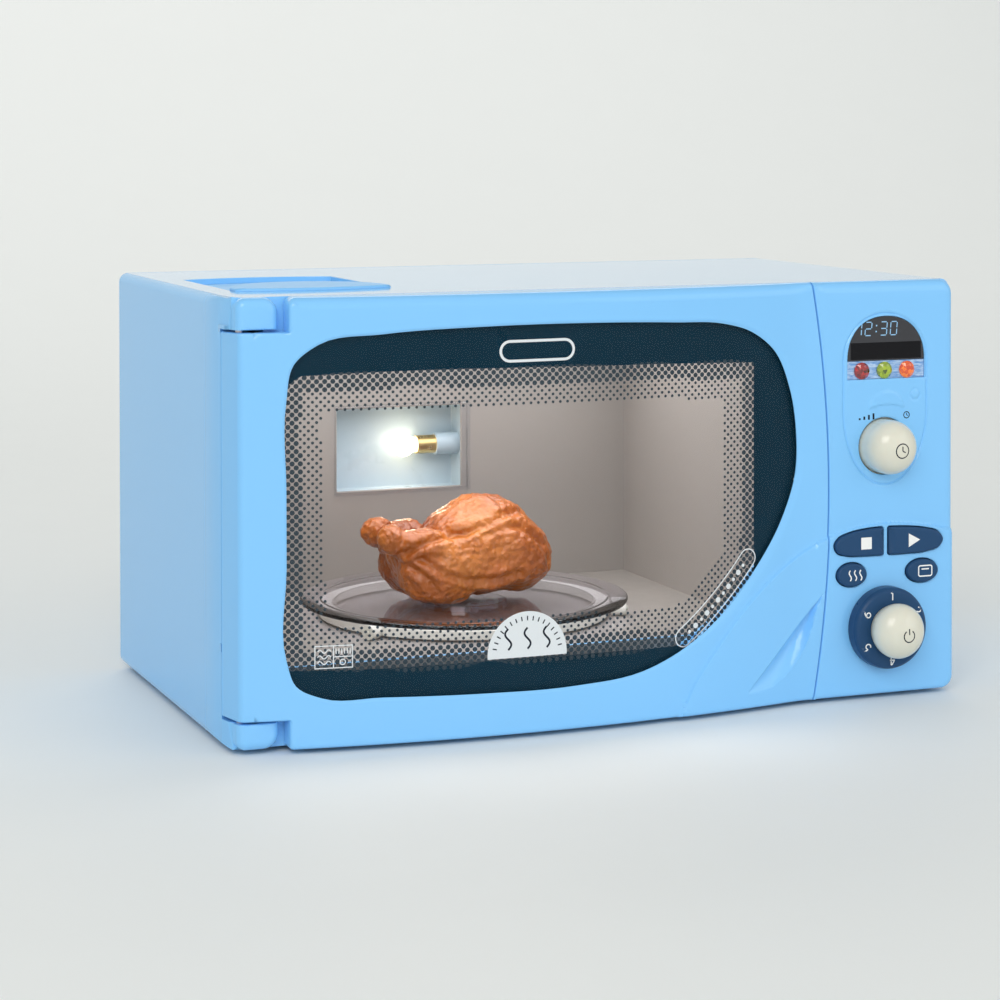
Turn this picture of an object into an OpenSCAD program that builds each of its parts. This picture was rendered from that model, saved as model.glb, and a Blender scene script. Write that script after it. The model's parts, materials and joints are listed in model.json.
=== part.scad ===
// Toy microwave oven: hinged bowed door, lamp lit cavity, motor driven
// turntable on a roller ring, control panel with knobs and push buttons.
// Millimetres.  +X to the right, -Y towards the front, +Z up.
// Origin: centre of the footprint, on the surface the feet stand on.
// Numbers below count Y from the middle of the shell and door; place() then
// moves every piece by place_y, because the power knob stands out in front.

/* [Body] */
// Overall width across the side walls
body_w = 320; // [318:0.5:323]
// Depth from the back wall to the middle of the bowed door
body_d = 191; // [188:0.5:198]
// Height of the shell without the feet
shell_h = 174.3; // [172:0.1:178]
// Wall thickness of the moulded shells
wall = 2.2; // [1.9:0.1:2.4]
// Height of the rubber feet
foot_h = 2; // [1.5:0.1:3]
// Radius of the long edges of the shell
edge_r = 4; // [3:0.5:4.5]

/* [Door] */
// How far the middle of the door stands in front of its ends
door_bow = 12.5; // [11:0.5:12.5]
// Radius of the hinge barrel along the left edge of the door
barrel_r = 8.9; // [8.4:0.1:9]
// Width of the running gap between door and control panel
seam_gap = 0.6; // [0.6:0.1:1.2]
// Radius of the hinge pins
pin_r = 1.5; // [1.2:0.1:1.8]

/* [Cavity] */
// Height of the cavity floor above the table
floor_z = 32; // [31.5:0.1:32.5]
// Height of the cavity ceiling above the table
ceil_z = 152; // [148:1:152]
// Outer radius of the turntable plate
plate_r = 70.5; // [69:0.5:71]
// Radius of the roller wheels
wheel_r = 3.2; // [3:0.05:3.2]
// Distance of the roller wheels from the turntable axis
wheel_d = 66.5; // [66:0.5:68]

/* [Controls] */
// Radius of the timer knob
timer_r = 11.4; // [10:0.1:11.6]
// Radius of the power dial at its base
dial_r = 17.2; // [15:0.1:17.5]
// Travel of the push buttons
press = 2; // [1:0.1:2]
// Radius of the two knob shafts
shaft_r = 3; // [2.5:0.1:3.2]

/* [Hidden] */

sky = [0.54, 0.79, 0.98];
pale = [0.72, 0.69, 0.66];
navy = [0.16, 0.27, 0.40];
ivory = [0.86, 0.85, 0.79];
steel = [0.75, 0.76, 0.78];
clear = [0.85, 0.88, 0.95, 0.35];

hw = body_w / 2;
zb = foot_h;                 // underside of the shell
zt = foot_h + shell_h;       // roof of the shell
hz = zt - 3.6;               // underside of the battery cover
yb = body_d / 2;             // back of the shell
yj = -49.8;                  // joint of rear housing and front frame
yw = -78.3;                  // front of the frame behind the door
yd = -78.8;                  // back of the door
yp = -83;                    // face of the control panel
ys = -84.2;                  // raised lower part of the control panel
skin = 2.5;                  // thickness of the panel face
xc = -37;                    // crown of the door
bow_r = (123 * 123 + door_bow * door_bow) / (2 * door_bow);
yc = yp - door_bow + bow_r;  // centre of the door's plan arc
ax = -153.5;                 // hinge axis
ay = -77;
seam_c = [-389.2, 89];       // centre of the arc of the door's right edge
seam_r = 489;
tt = [-32, 0.5];             // turntable axis
cav = [-139, 76.7, -76, 75.4];   // cavity: left, right, front, back
timer = [126.2, 106.6];
dial = [125.3, 30.7];
place_y = 4.5;               // puts the middle of the whole depth, knobs included, at Y = 0

// ---- helpers -----------------------------------------------------------
module box(x0, x1, y0, y1, z0, z1)
  translate([x0, y0, z0]) cube([x1 - x0, y1 - y0, z1 - z0]);
// extrusions of a flat shape along one axis
module zex(z0, z1) translate([0, 0, z0]) linear_extrude(height = z1 - z0) children();
module yex(y0, y1) translate([0, y1, 0]) rotate([90, 0, 0]) linear_extrude(height = y1 - y0) children();
module rr(x0, x1, y0, y1, r) {
  translate([x0 + r, y0]) square([x1 - x0 - 2 * r, y1 - y0]);
  translate([x0, y0 + r]) square([x1 - x0, y1 - y0 - 2 * r]);
  for (x = [x0 + r, x1 - r], y = [y0 + r, y1 - r])
    translate([x, y]) circle(r, $fn = 48);
}
module rodz(x, y, z0, z1, r, fn = 48) translate([x, y, z0]) cylinder(h = z1 - z0, r = r, $fn = fn);
module rody(x, z, y0, y1, r, fn = 48) translate([x, y1, z]) rotate([90, 0, 0]) cylinder(h = y1 - y0, r = r, $fn = fn);
module rodx(y, z, x0, x1, r, fn = 48) translate([x0, y, z]) rotate([0, 90, 0]) cylinder(h = x1 - x0, r = r, $fn = fn);
// turned part on an axis that points to the front: profile [radius, distance]
module turned(x, z, y, pts) translate([x, y, z]) rotate([90, 0, 0]) rotate_extrude($fn = 96) polygon(pts);

// ---- smooth outlines through hand placed points ----------------------------
function dst(a, b) = norm(b - a);
function tang(a, b, c) = ((c - b) / dst(b, c) * dst(a, b) + (b - a) / dst(a, b) * dst(b, c)) / (dst(a, b) + dst(b, c));
function herm(a, b, ta, tb, t, d) = (2*t*t*t - 3*t*t + 1) * a + (t*t*t - 2*t*t + t) * d * ta
  + (3*t*t - 2*t*t*t) * b + (t*t*t - t*t) * d * tb;
function loop(p, n) = let (m = len(p)) [for (i = [0 : m - 1], k = [0 : n - 1])
  let (a = p[(i + m - 1) % m], b = p[i], c = p[(i + 1) % m], e = p[(i + 2) % m])
  herm(b, c, tang(a, b, c), tang(b, c, e), k / n, dst(b, c))];
function path(p, n) = let (m = len(p)) concat([for (i = [0 : m - 2], k = [0 : n - 1])
  let (a = i > 0 ? p[i - 1] : 2 * p[0] - p[1], b = p[i], c = p[i + 1], e = i < m - 2 ? p[i + 2] : 2 * p[m - 1] - p[m - 2])
  herm(b, c, tang(a, b, c), tang(b, c, e), k / n, dst(b, c))], [p[m - 1]]);
// move every point of a clockwise loop outwards by g
function grow(p, g) = let (m = len(p)) [for (i = [0 : m - 1])
  let (d = p[(i + 1) % m] - p[(i + m - 1) % m], u = d / norm(d)) p[i] + g * [-u[1], u[0]]];

// window of the door, clockwise seen from the front, heights above the shell's underside
win = [[-137.5, 134], [-134.5, 148.5], [-125, 156], [-100, 159.5], [-60, 161.4],
  [-15, 161.6], [25, 160.4], [48, 159], [62, 155], [74, 146], [81, 131.5],
  [84.5, 113], [84, 95], [77, 76.5], [64, 57.5], [48, 40.5], [30, 28.2],
  [10, 20.3], [-20, 17.2], [-60, 17.2], [-100, 18.4], [-124, 19.4],
  [-134, 24.5], [-137.5, 34], [-137.5, 70], [-137.5, 100]];
module window(g = 0) translate([0, zb]) polygon(loop(grow(win, g), 3));

// line of the raised lower right corner that sweeps over door and panel
sweep = [[26, -1], [33, 13], [40, 22], [48, 31.5], [58, 42], [70, 52], [82, 59.8],
  [94, 65.6], [104, 69.2], [114, 71.4], [125, 72.2], [137, 71.7], [149, 70], [161, 67.4]];
module raised() translate([0, zb]) intersection() {
  polygon(concat(path(sweep, 3), [[161, -1]]));
  translate([0, 0]) square([200, 200]);
}

// push buttons: outlines that follow the sweep, grown by g
function oval(c, a, b, n = 40) = [for (i = [0 : n - 1]) c + [a * cos(-360 * i / n), b * sin(-360 * i / n)]];
stop_pts = [[101.8, 66], [103.4, 68.6], [108, 70.6], [116, 72], [124.8, 72.5], [124.8, 66.5],
  [124.8, 60.9], [116, 61], [107, 61.6], [103, 63]];
start_pts = [[127.4, 72.5], [136, 72.1], [146, 70.8], [151.5, 69], [153.4, 66.2], [151.8, 63.2],
  [146, 61.4], [136, 60.9], [127.4, 60.9], [127.4, 66.5]];
module stop2d(g = 0) polygon(grow(stop_pts, g));
module start2d(g = 0) polygon(grow(start_pts, g));
module grill2d(g = 0) polygon(oval([109.7, 53.3], 6.9 + g, 4.9 + g));
module oven2d(g = 0) polygon(oval([143.4, 53.1], 7.5 + g, 4.9 + g));

// plan of the battery hatch in the roof
module hatch(g = 0) intersection() {
  translate([-146 + g, -60]) square([66 - 2 * g, 120]);
  translate([-113, 43.75]) circle(93.75 - g, $fn = 360);
  translate([-113, -51.25]) circle(93.75 - g, $fn = 360);
}

// plan of the front left corner: the side wall leans in towards the front
module side_plan() {
  translate([-hw + 110, -52]) circle(110, $fn = 360);
  translate([-hw, -52]) square([400, 160]);
  translate([-50, -110]) square([300, 200]);
}

// region left of the door's curved right edge, edge moved by g
module left_of_seam(g = 0) intersection() {
  translate(seam_c) circle(seam_r + g, $fn = 720);
  translate([-200, -10]) square([400, 220]);
}

// ---- fixed body --------------------------------------------------------
module place() translate([0, place_y, 0]) children();
bx = 150;                    // screw posts, distance from the middle
module rear_housing() place() color(sky) difference() {
  union() {
    difference() {
      yex(yj, yb) rr(-hw, hw, zb, zt, edge_r);
      yex(yj - 1, yb - wall) rr(-hw + wall, hw - wall, zb + wall, zt - wall, 1);
      box(-hw + 5, hw - 5, yj - 1, yb - 5, zb - 1, zb + wall + 0.1);
      box(-hw + 2.9, hw - 2.9, yj - 1, yb - 1.4, zt - wall, zt + 1);
      box(-hw + wall, hw - wall, yj - 1, yb - wall, zt - wall - 2, zt - wall + 0.1);
    }
    // posts for the screws of the base plate
    for (x = [-1, 1], y = [-38, 84]) {
      rodz(x * bx, y, zb + 3.4, 30, 4.5);
      box(x > 0 ? bx : -hw + 1, x > 0 ? hw - 1 : -bx, y - 1.2, y + 1.2, zb + 3.4, 30);
    }
    // long tubes that reach the front frame
    for (x = [-bx, bx], z = [40, 164]) rody(x, z, -42, yb - wall + 0.5, 4.5);
  }
  for (x = [-bx, bx], y = [-38, 84]) rodz(x, y, zb + 2, 25, 1.4);
  for (x = [-bx, bx], z = [40, 164]) {
    rody(x, z, -43, yb + 1, 1.7);
    rody(x, z, -30, yb + 1, 3.3);
  }
  // sound slots over the speaker
  for (i = [-4 : 4]) box(116 + 4.5 * i - 1, 116 + 4.5 * i + 1, yb - wall - 1, yb + 1, 110 - sqrt(324 - 18 * i * i), 110 + sqrt(324 - 18 * i * i));
  // vent slots
  for (i = [0 : 5]) box(-118 + 12 * i, -110 + 12 * i, yb - wall - 1, yb + 1, 40, 43);
}

module top_cover() place() color(sky) {
  difference() {
    intersection() {
      box(-hw + 3.2, hw - 3.2, -77.7, yb - 1.7, zt - wall, zt);
      translate([2.9, 0, 0]) zex(0, 200) side_plan();
      yex(-100, 100) rr(-hw, hw, zb, zt, edge_r);
    }
    zex(zt - wall - 1, zt + 1) hatch();
  }
  // rim that joins the hatch opening to the battery box
  difference() {
    box(-149, -77, -53, 45.5, hz, zt - wall);
    zex(hz - 1, zt) hatch();
  }
  // snap tabs inside the side walls
  for (x = [-hw + 3.2, hw - 4.6], y = [-30, 20, 70])
    box(x, x + 1.4, y, y + 12, zt - wall - 8, zt - wall);
}

module base_plate() place() color(sky) difference() {
  union() {
    box(-hw + 5.2, hw - 5.2, yj + 0.2, yb - 5.2, zb, zb + wall);
    box(-hw + wall + 1.1, hw - wall - 1.1, yj + 0.2, yb - wall - 0.2, zb + wall, zb + 3.4);
  }
  for (x = [-bx, bx], y = [-38, 84]) {
    rodz(x, y, zb - 1, zb + wall, 3.3);
    rodz(x, y, zb - 1, zb + 5, 1.7);
  }
}

module feet() place() color([0.25, 0.26, 0.28]) {
  for (x = [-138, 138]) {
    rodz(x, -64, 0, zb, 6);
    rodz(x, 74, 0, zb, 6);
  }
}

module base_screws() place() color(steel) for (x = [-bx, bx], y = [-38, 84]) difference() {
  union() {
    rodz(x, y, zb + 0.5, zb + wall, 2.9);
    rodz(x, y, zb + wall, 20, 1.4);
  }
  for (a = [0, 90]) translate([x, y, zb]) rotate([0, 0, a]) translate([-2, -0.4, 0]) cube([4, 0.8, 1.2]);
}

module housing_screws() place() color(steel) for (x = [-bx, bx], z = [40, 164]) difference() {
  union() {
    rody(x, z, -30, -28.2, 3);
    rody(x, z, -56, -30, 1.4);
  }
  for (a = [0, 90]) translate([x, -28, z]) rotate([0, a, 0]) translate([-2, -0.8, -0.4]) cube([4, 1, 0.8]);
}

module front_frame() place() color(sky) difference() {
  union() {
    intersection() {
      union() {
        // outer band
        difference() {
          yex(yw, yj) rr(-hw, hw, zb, zt, edge_r);
          yex(yw - 1, yj + 1) rr(-hw + wall, hw - wall, zb + wall, zt - wall - 2.2, 1);
          intersection() {
            box(-hw + 2.9, hw - 2.9, -78, yj + 1, zt - wall, zt + 1);
            translate([2.6, 0, 0]) zex(0, 200) side_plan();
          }
        }
        // front web around the mouth of the cavity
        yex(yw, yw + 2.5) rr(-hw + 1, hw - 1, zb + 1, zt - wall, 1);
        // left side thickened behind the hinge barrel
        box(-hw, -141, yw, -64.5, zb, zt - wall);
        // hinge blocks
        yex(-83.4, yw) for (m = [0, 1]) mirror([0, m, 0]) translate([0, -m * (zb + zt)]) hinge_block(m == 0 ? zt - 164 : 10.3);
      }
      zex(0, 200) side_plan();
      yex(-100, 60) rr(-hw, hw, zb, zt, edge_r);
    }
    // lips inside the rear housing
    for (x = [-1, 1]) {
      box(x > 0 ? hw - wall - 1.7 : -hw + wall + 0.2, x > 0 ? hw - wall - 0.2 : -hw + wall + 1.7, -56, yj + 5, 52, 150);
      box(x > 0 ? hw - wall - 1.7 : -hw + 1, x > 0 ? hw - 1 : -hw + wall + 1.7, -56, yj - 1, 52, 150);
    }
    // screw bosses with ribs to the side walls
    for (x = [-bx, bx], z = [40, 164]) {
      rody(x, z, -76, -42.2, 4.5);
      box(x > 0 ? bx : -hw + 1, x > 0 ? hw - 1 : -bx, -76, yj - 0.5, z - 1.5, z + 1.5);
    }
  }
  // groove for the hinge barrel
  rodz(ax, ay, zb + 10.3, 164, barrel_r + 0.4, 180);
  box(-hw - 1, -140, -90, yw, zb + 10.3, 164);
  // mouth of the cavity
  yex(yw - 1, -70) rr(cav[0], cav[1], floor_z, ceil_z, 4);
  // opening behind the control panel
  yex(yw - 1, yw + 3) rr(100.2, hw - 5, zb + 6, zt - 8, 3);
  // pin holes of the hinge
  rodz(ax, ay, 160, 172, pin_r);
  rodz(ax, ay, zb + 2.5, zb + 12, pin_r);
  // latch slot
  box(82.5, 89.5, yw - 1, yw + 4, 84, 98);
  // screw holes
  for (x = [-bx, bx], z = [40, 164]) rody(x, z, -60, -40, 1.4);
  // notch for the rim of the battery box
  box(-149.3, -76.7, -53.3, yj + 1, hz - 1.8, zt - wall + 0.1);
}

// front outline of a hinge block of height h below the roof, with one rounded corner
module hinge_block(h) {
  translate([-hw, zt - h]) square([hw - 139.3, h - 6]);
  translate([-hw, zt - 6.1]) square([hw - 145.3, 6.1]);
  translate([-145.3, zt - 6]) circle(6, $fn = 96);
}
// face moulding on the right, clipped to the front frame
module control_panel() place() color(sky) difference() {
  union() {
    difference() {
      union() {
        yex(yp, yw) rr(60, hw, zb, zt, 6);
        intersection() { yex(ys, yw) rr(60, hw, zb, zt, 6); yex(ys - 1, yw) raised(); }
      }
      yex(ys - 2, yw + 1) left_of_seam(seam_gap / 2);
    }
    // clips behind the face
    for (x = [118, 134], z = [zb + 6.2, zt - 11]) box(x, x + 8, yw - 1, yw + 5, z, z + 2.6);
  }
  // hollow
  difference() {
    yex(yp + skin, yw + 1) rr(80, hw - wall, zb + wall, zt - wall, 3);
    yex(yp, yw + 2) left_of_seam(seam_gap / 2 + 1);
    for (x = [118, 134]) {
      box(x, x + 8, yw - 3, yw + 5, zb, zb + 8.8);
      box(x, x + 8, yw - 3, yw + 5, zt - 11, zt);
    }
  }
  yex(yp - 1, yp + skin + 1) arch();
  // groove that frames display and timer
  yex(yp - 1, yp + 0.7) difference() { capsule(20.4); capsule(19.5); }
  rody(timer[0], timer[1], yp - 1, yp + skin + 1, timer_r + 0.7, 96);
  rody(dial[0], dial[1], ys - 1, yp + skin + 1, shaft_r + 0.05);
  yex(ys - 1, yp + skin + 1) { stop2d(0.35); start2d(0.35); grill2d(0.35); oven2d(0.35); }
}
// round headed plate that frames the display and the timer
module capsule(r) {
  translate([126.7, 142.7]) circle(r, $fn = 96);
  translate([126.7 - r, 122]) square([2 * r, 20.7]);
  intersection() {
    polygon(oval([126.7, 122], r, r + 11.6, 96));
    translate([100, 80]) square([60, 42.1]);
  }
}
// display opening: broad arch above a low rectangle
module arch(g = 0) polygon(concat([[108.7 + g, 135 + g]], [for (i = [0 : 36])
  let (a = 180 - 5 * i, c = cos(a)) [127.2 + (18.5 - g) * sign(c) * pow(abs(c), 0.9), 143 + (18.5 - g) * pow(sin(a), 0.9)]],
  [[145.7 - g, 135 + g]]));

module cavity_liner() place() color(pale) difference() {
  union() {
    difference() {
      union() {
        box(cav[0] - 1.5, cav[1] + 1.5, -75.8, cav[3] + 1.5, floor_z - 1.5, ceil_z + 1.5);
        // flange behind the front web
        box(cav[0] - 1.5, 80.5, -75.8, -74.3, floor_z - 5, ceil_z + 4);
        // bush of the drive shaft
        rodz(tt[0], tt[1], 24.5, floor_z - 1, 6);
      }
      box(cav[0], cav[1], -80, cav[3], floor_z, ceil_z);
    }
  }
  rodz(tt[0], tt[1], 20, 60, 3.05);
  // opening of the lamp
  box(-65, -5.2, cav[3] - 1, cav[3] + 3, 76.2, 113.3);
}

module lamp_housing() place() color([0.66, 0.82, 0.93]) {
  difference() {
    box(-68, -2.2, cav[3] + 1.5, 93.2, 73.2, 116.3);
    box(-66.5, -3.7, cav[3] + 1, 91.7, 74.7, 114.8);
  }
  // boss that carries the bulb holder
  rodx(85, 94.7, -15, -3.2, 5);
}
module bulb_holder() place() color([0.80, 0.62, 0.30]) rodx(85, 94.7, -24, -15, 4.2);
module lamp_bulb() place() color([1, 0.93, 0.70, 0.6]) {
  translate([-30, 85, 94.7]) rotate([0, 90, 0]) rotate_extrude($fn = 96) intersection() {
    union() {
      circle(5.2, $fn = 96);
      square([3.4, 6]);
    }
    translate([0, -10]) square([10, 20]);
  }
}
module lamp_lens() place() color(clear) difference() {
  box(-66.5, -1.5, cav[3] - 3.2, cav[3], 74.4, 115);
  box(-65.3, -2.7, cav[3] - 2, cav[3] + 1, 75.6, 113.8);
}

// battery compartment: four cells side by side under the hatch
module battery_box() place() color(sky) {
  difference() {
    union() {
      box(-144, -82, -38, 31, 155, hz);
      box(-149, -77, -53, 45.5, hz - 1.5, hz);
    }
    box(-142.5, -83.5, -36.5, 29.5, 156.5, hz + 1);
  }
  difference() {
    rodz(-113, -3.5, 156, hz, 3.2);
    rodz(-113, -3.5, 160, hz + 1, 1.4);
  }
}
cell_y = [-29.15, -14.45, 7.45, 22.15];
module battery_contacts() place() color([0.8, 0.8, 0.78]) for (y = cell_y) {
  box(-142.5, -142.1, y - 6, y + 6, 157.5, 171);
  box(-83.9, -83.5, y - 6, y + 6, 157.5, 171);
  rodx(y, 163.9, -142.1, -138.7, 3);
  rodx(y, 163.9, -88.1, -83.9, 2.4);
}
module battery_cells() place() color([0.30, 0.32, 0.35]) for (y = cell_y) {
  rodx(y, 163.9, -138.6, -89.7, 7.2);
  rodx(y, 163.9, -89.7, -88.2, 2.75);
}

module display_lens() place() color([0.20, 0.20, 0.22]) intersection() {
  yex(yp + 0.6, yp + 2) arch(0.15);
  box(100, 160, -90, -70, 142.8, 170);
}
module display_card() place() color([0.45, 0.68, 0.92]) {
  yex(yp + 2, yp + skin) arch(0.15);
  box(108.85, 145.55, yp + 0.8, yp + 2, 135.15, 142.6);
  yex(yp + skin, yp + skin + 0.8) rr(106.5, 147.9, 132.5, 163.8, 2);
}
module gem(x) {
  rody(x, 138.6, yp + 0.2, yp + 0.8, 3.3);
  translate([x, yp + 0.2, 138.6]) rotate([90, 0, 0]) cylinder(h = 1.2, r1 = 3.3, r2 = 1.9, $fn = 48);
}
module gem_red() place() color([0.65, 0.03, 0.06]) gem(115.6);
module gem_green() place() color([0.55, 0.70, 0.05]) gem(126.4);
module gem_amber() place() color([1.0, 0.40, 0.05]) gem(137.2);

pcb = [103.6, 143.6, 14, 162];
posts = [[107, 127.4], [140.4, 127.4], [107, 82], [140.4, 82], [107, 18], [140.4, 18]];
module control_pcb() place() color([0.10, 0.38, 0.22]) {
  difference() {
    box(pcb[0], pcb[1], -62, -60.4, pcb[2], pcb[3]);
    for (p = posts) rody(p[0], p[1], -63, -60, 1.2);
  }
  // chip, capacitor and sockets on the back
  box(114, 128, -60.4, -58.8, 140, 154);
  rody(134, 147, -60.4, -50, 3.2);
  box(112, 120, -60.4, -54, 88, 94);
  box(126, 134, -60.4, -54, 88, 94);
  // stand-offs and their screws
  for (p = posts) {
    rody(p[0], p[1], -80.5, -62, 2.6);
    rody(p[0], p[1], -60.4, -59, 2.2);
  }
}
module keypad() place() color([0.30, 0.32, 0.35]) {
  box(103.8, 143.4, -63.2, -62, 48, 76);
  for (p = [[113.5, 66.6], [138, 66.6], [109.7, 53.3], [139.5, 53.2]])
    translate([p[0], -63.2, p[1]]) rotate([90, 0, 0]) cylinder(h = 2.6, r1 = 3.4, r2 = 2.6, $fn = 48);
}
module rotary_switch(p) difference() {
  union() {
    box(p[0] - 7, p[0] + 7, -70, -62, p[1] - 7, p[1] + 7);
    rody(p[0], p[1], -73, -70, 4.6);
  }
  rody(p[0], p[1], -74, -63.5, shaft_r + 0.05);
}
module timer_switch() place() color([0.35, 0.36, 0.38]) rotary_switch(timer);
module power_switch() place() color([0.35, 0.36, 0.38]) rotary_switch(dial);

module speaker() place() color([0.15, 0.15, 0.16]) {
  turned(116, 110, yb - wall, [[0, 0], [20, 0], [20, 1.6], [12, 6], [12, 11], [0, 11]]);
}

// ---- turntable drive ---------------------------------------------------
a1 = [tt[0] + 20, tt[1]];    // compound gear
a2 = [tt[0] + 40, tt[1]];    // motor
module motor() place() color(steel) difference() {
  intersection() {
    rodz(a2[0], a2[1], 6.9, 15.4, 12, 64);
    box(a2[0] - 12.5, a2[0] + 12.5, a2[1] - 10, a2[1] + 10, 6, 16);
  }
  rodz(a2[0], a2[1], 8, 16, 1.05);
}
module gearbox_frame() place() color([0.88, 0.88, 0.85]) difference() {
  union() {
    box(tt[0] - 14, a2[0] + 15, tt[1] - 14, tt[1] + 14, 5.4, 6.9);
    rodz(tt[0], tt[1], 6, 11.6, 6);
    rodz(a1[0], a1[1], 6, 11, 3.2);
    difference() {
      box(a2[0] - 14, a2[0] + 15, tt[1] - 14, tt[1] + 14, 6, 13);
      intersection() {
        rodz(a2[0], a2[1], 6.9, 15.4, 12.1, 64);
        box(a2[0] - 13, a2[0] + 13, a2[1] - 10.1, a2[1] + 10.1, 6.9, 16);
      }
    }
  }
  rodz(tt[0], tt[1], 7.4, 13, 3.05);
  rodz(a1[0], a1[1], 5.6, 13, 1.5);
}
module gear_axle() place() color(steel) rodz(a1[0], a1[1], 5.6, 20, 1.5);

// involute spur gear: z teeth, module m, addendum ad, thinned by bl
function inv_pt(rb, t) = [rb * (cos(t) + t * PI / 180 * sin(t)), rb * (sin(t) - t * PI / 180 * cos(t))];
function rot2(p, a) = [p[0] * cos(a) - p[1] * sin(a), p[0] * sin(a) + p[1] * cos(a)];
function roll(rb, r) = sqrt(pow(r / rb, 2) - 1) * 180 / PI;
function gear_pts(z, m, ad, bl) = let (
    rp = m * z / 2, rb = rp * cos(20), ra = rp + ad, rf = rp - 1.2 * m,
    ip = roll(rb, rp), ph = ip - atan(ip * PI / 180),
    half = (PI * m / 2 - bl) / rp * 90 / PI,
    flank = [for (k = [0 : 4]) let (r = rb + (ra - rb) * k / 4) inv_pt(rb, r > rb ? roll(rb, r) : 0)])
  [for (i = [0 : z - 1]) let (c = 360 * i / z) each concat(
    [rot2([min(rf, rb), 0], c - half - ph)],
    [for (p = flank) rot2(p, c - half - ph)],
    [for (k = [4 : -1 : 0]) rot2([flank[k][0], -flank[k][1]], c + half + ph)],
    [rot2([min(rf, rb), 0], c + half + ph)])];
module gear(z, m, ad, h, a = 0) rotate([0, 0, a]) linear_extrude(height = h) polygon(gear_pts(z, m, ad, 0.25));

module output_gear() place() color(ivory) {
  translate([tt[0], tt[1], 12]) gear(30, 1, 0.6, 3.5);
  rodz(tt[0], tt[1], 7.6, 12, 3);
  rodz(tt[0], tt[1], 15.5, 36.6, 3);
  rodz(tt[0], tt[1], 15.5, 16, 4);
}
module compound_gear() place() color(ivory) difference() {
  union() {
    translate([a1[0], a1[1], 11.4]) gear(10, 1, 0.95, 4.8, 198);
    translate([a1[0], a1[1], 16.2]) gear(30, 1, 0.6, 3);
  }
  rodz(a1[0], a1[1], 10, 22, 1.55);
}
module motor_pinion() place() color([0.80, 0.62, 0.30]) {
  translate([a2[0], a2[1], 16]) gear(10, 1, 0.95, 3.6, 198);
  rodz(a2[0], a2[1], 8.4, 16, 1);
}
module drive_coupler() place() color(ivory) translate([tt[0], tt[1], floor_z + 0.6]) linear_extrude(height = 4) difference() {
  union() {
    circle(7, $fn = 64);
    for (a = [0, 120, 240]) rotate([0, 0, a]) translate([4, -2.9]) square([11, 5.8]);
  }
  circle(3, $fn = 64);
}

module turntable_plate() place() color(clear) {
  translate([tt[0], tt[1], floor_z]) rotate_extrude($fn = 180)
    polygon([[0, 5], [56, 5], [62, 6.5], [plate_r, 6.5], [plate_r, 8.2], [61.5, 8.2], [55.5, 6.6], [0, 6.6]]);
  // driving pegs between the lobes of the coupler
  for (a = [0, 120, 240], s = [-32, 32]) rotate_about(tt, a + s) translate([11.5, 0, floor_z + 1.2]) cylinder(h = 4.5, r = 1.7, $fn = 32);
  // locating ring
  translate([tt[0], tt[1], floor_z]) rotate_extrude($fn = 96) polygon([[17, 2.5], [18.5, 2.5], [18.5, 5.5], [17, 5.5]]);
}
module rotate_about(p, a) translate([p[0], p[1], 0]) rotate([0, 0, a]) children();

wheel_z = floor_z + wheel_r + 0.05;
wheels = [215, 335, 95];
module roller_ring() place() color(ivory) {
  translate([tt[0], tt[1], floor_z]) rotate_extrude($fn = 180) polygon([[57, 1], [62.2, 1], [62.2, 4.6], [57, 4.6]]);
  for (a = wheels) rotate_about(tt, a) rodx(0, wheel_z, 61, wheel_d + 4, 1, 32);
}
module wheel(a) rotate_about(tt, a) difference() {
  rodx(0, wheel_z, wheel_d - 3.2, wheel_d + 3.2, wheel_r, 64);
  rodx(0, wheel_z, wheel_d - 4, wheel_d + 4, 1.05, 32);
}
module roller_wheel_a() place() color(ivory) wheel(215);
module roller_wheel_b() place() color(ivory) wheel(335);
module roller_wheel_c() place() color(ivory) wheel(95);

// play food: a roast chicken lying along X
module play_chicken() place() color([0.80, 0.42, 0.14]) translate([-32, 2, 38.55]) {
  hull() {
    translate([8, 0, 23]) sphere(22.4, $fn = 32);
    translate([26, 0, 18]) sphere(14, $fn = 32);
    translate([-16, 0, 17]) sphere(15, $fn = 32);
    translate([6, 0, 14]) sphere(13.9, $fn = 32);
  }
  for (s = [-1, 1]) {
    hull() {
      translate([-6, s * 17, 18]) sphere(10, $fn = 32);
      translate([-30, s * 12, 25]) sphere(5.5, $fn = 32);
    }
    translate([-37, s * 10, 28]) sphere(6.2, $fn = 32);
  }
}

// ---- other fixed pieces --------------------------------------------------
module latch_catch() place() color(steel) {
  box(80.8, 82, -75.8, -64, 86, 96);
  box(90, 91.2, -75.8, -64, 86, 96);
  box(80.8, 91.2, -64, -63, 86, 96);
}
module hinge_pin_upper() place() color(steel) rodz(ax, ay, 151, 171.8, pin_r);
module hinge_pin_lower() place() color(steel) rodz(ax, ay, zb + 2.6, 26, pin_r);

// wires: a tube of eight sides swept along a smooth route
function frame_u(t) = let (a = abs(t[2]) < 0.9 ? [0, 0, 1] : [1, 0, 0], u = cross(t, a)) u / norm(u);
function ring_pts(c, t, r) = let (u = frame_u(t), v = cross(t, u)) [for (k = [0 : 7]) c + r * (cos(45 * k) * u + sin(45 * k) * v)];
module wire(route, r) {
  p = path(route, 5);
  n = len(p);
  pts = [for (i = [0 : n - 1]) let (d = p[min(i + 1, n - 1)] - p[max(i - 1, 0)]) each ring_pts(p[i], d / norm(d), r)];
  polyhedron(points = pts, faces = concat([[for (k = [0 : 7]) k]], [[for (k = [7 : -1 : 0]) 8 * (n - 1) + k]],
    [for (i = [0 : n - 2], k = [0 : 7]) [8 * i + k, 8 * (i + 1) + k, 8 * (i + 1) + (k + 1) % 8, 8 * i + (k + 1) % 8]]), convexity = 6);
}
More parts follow.
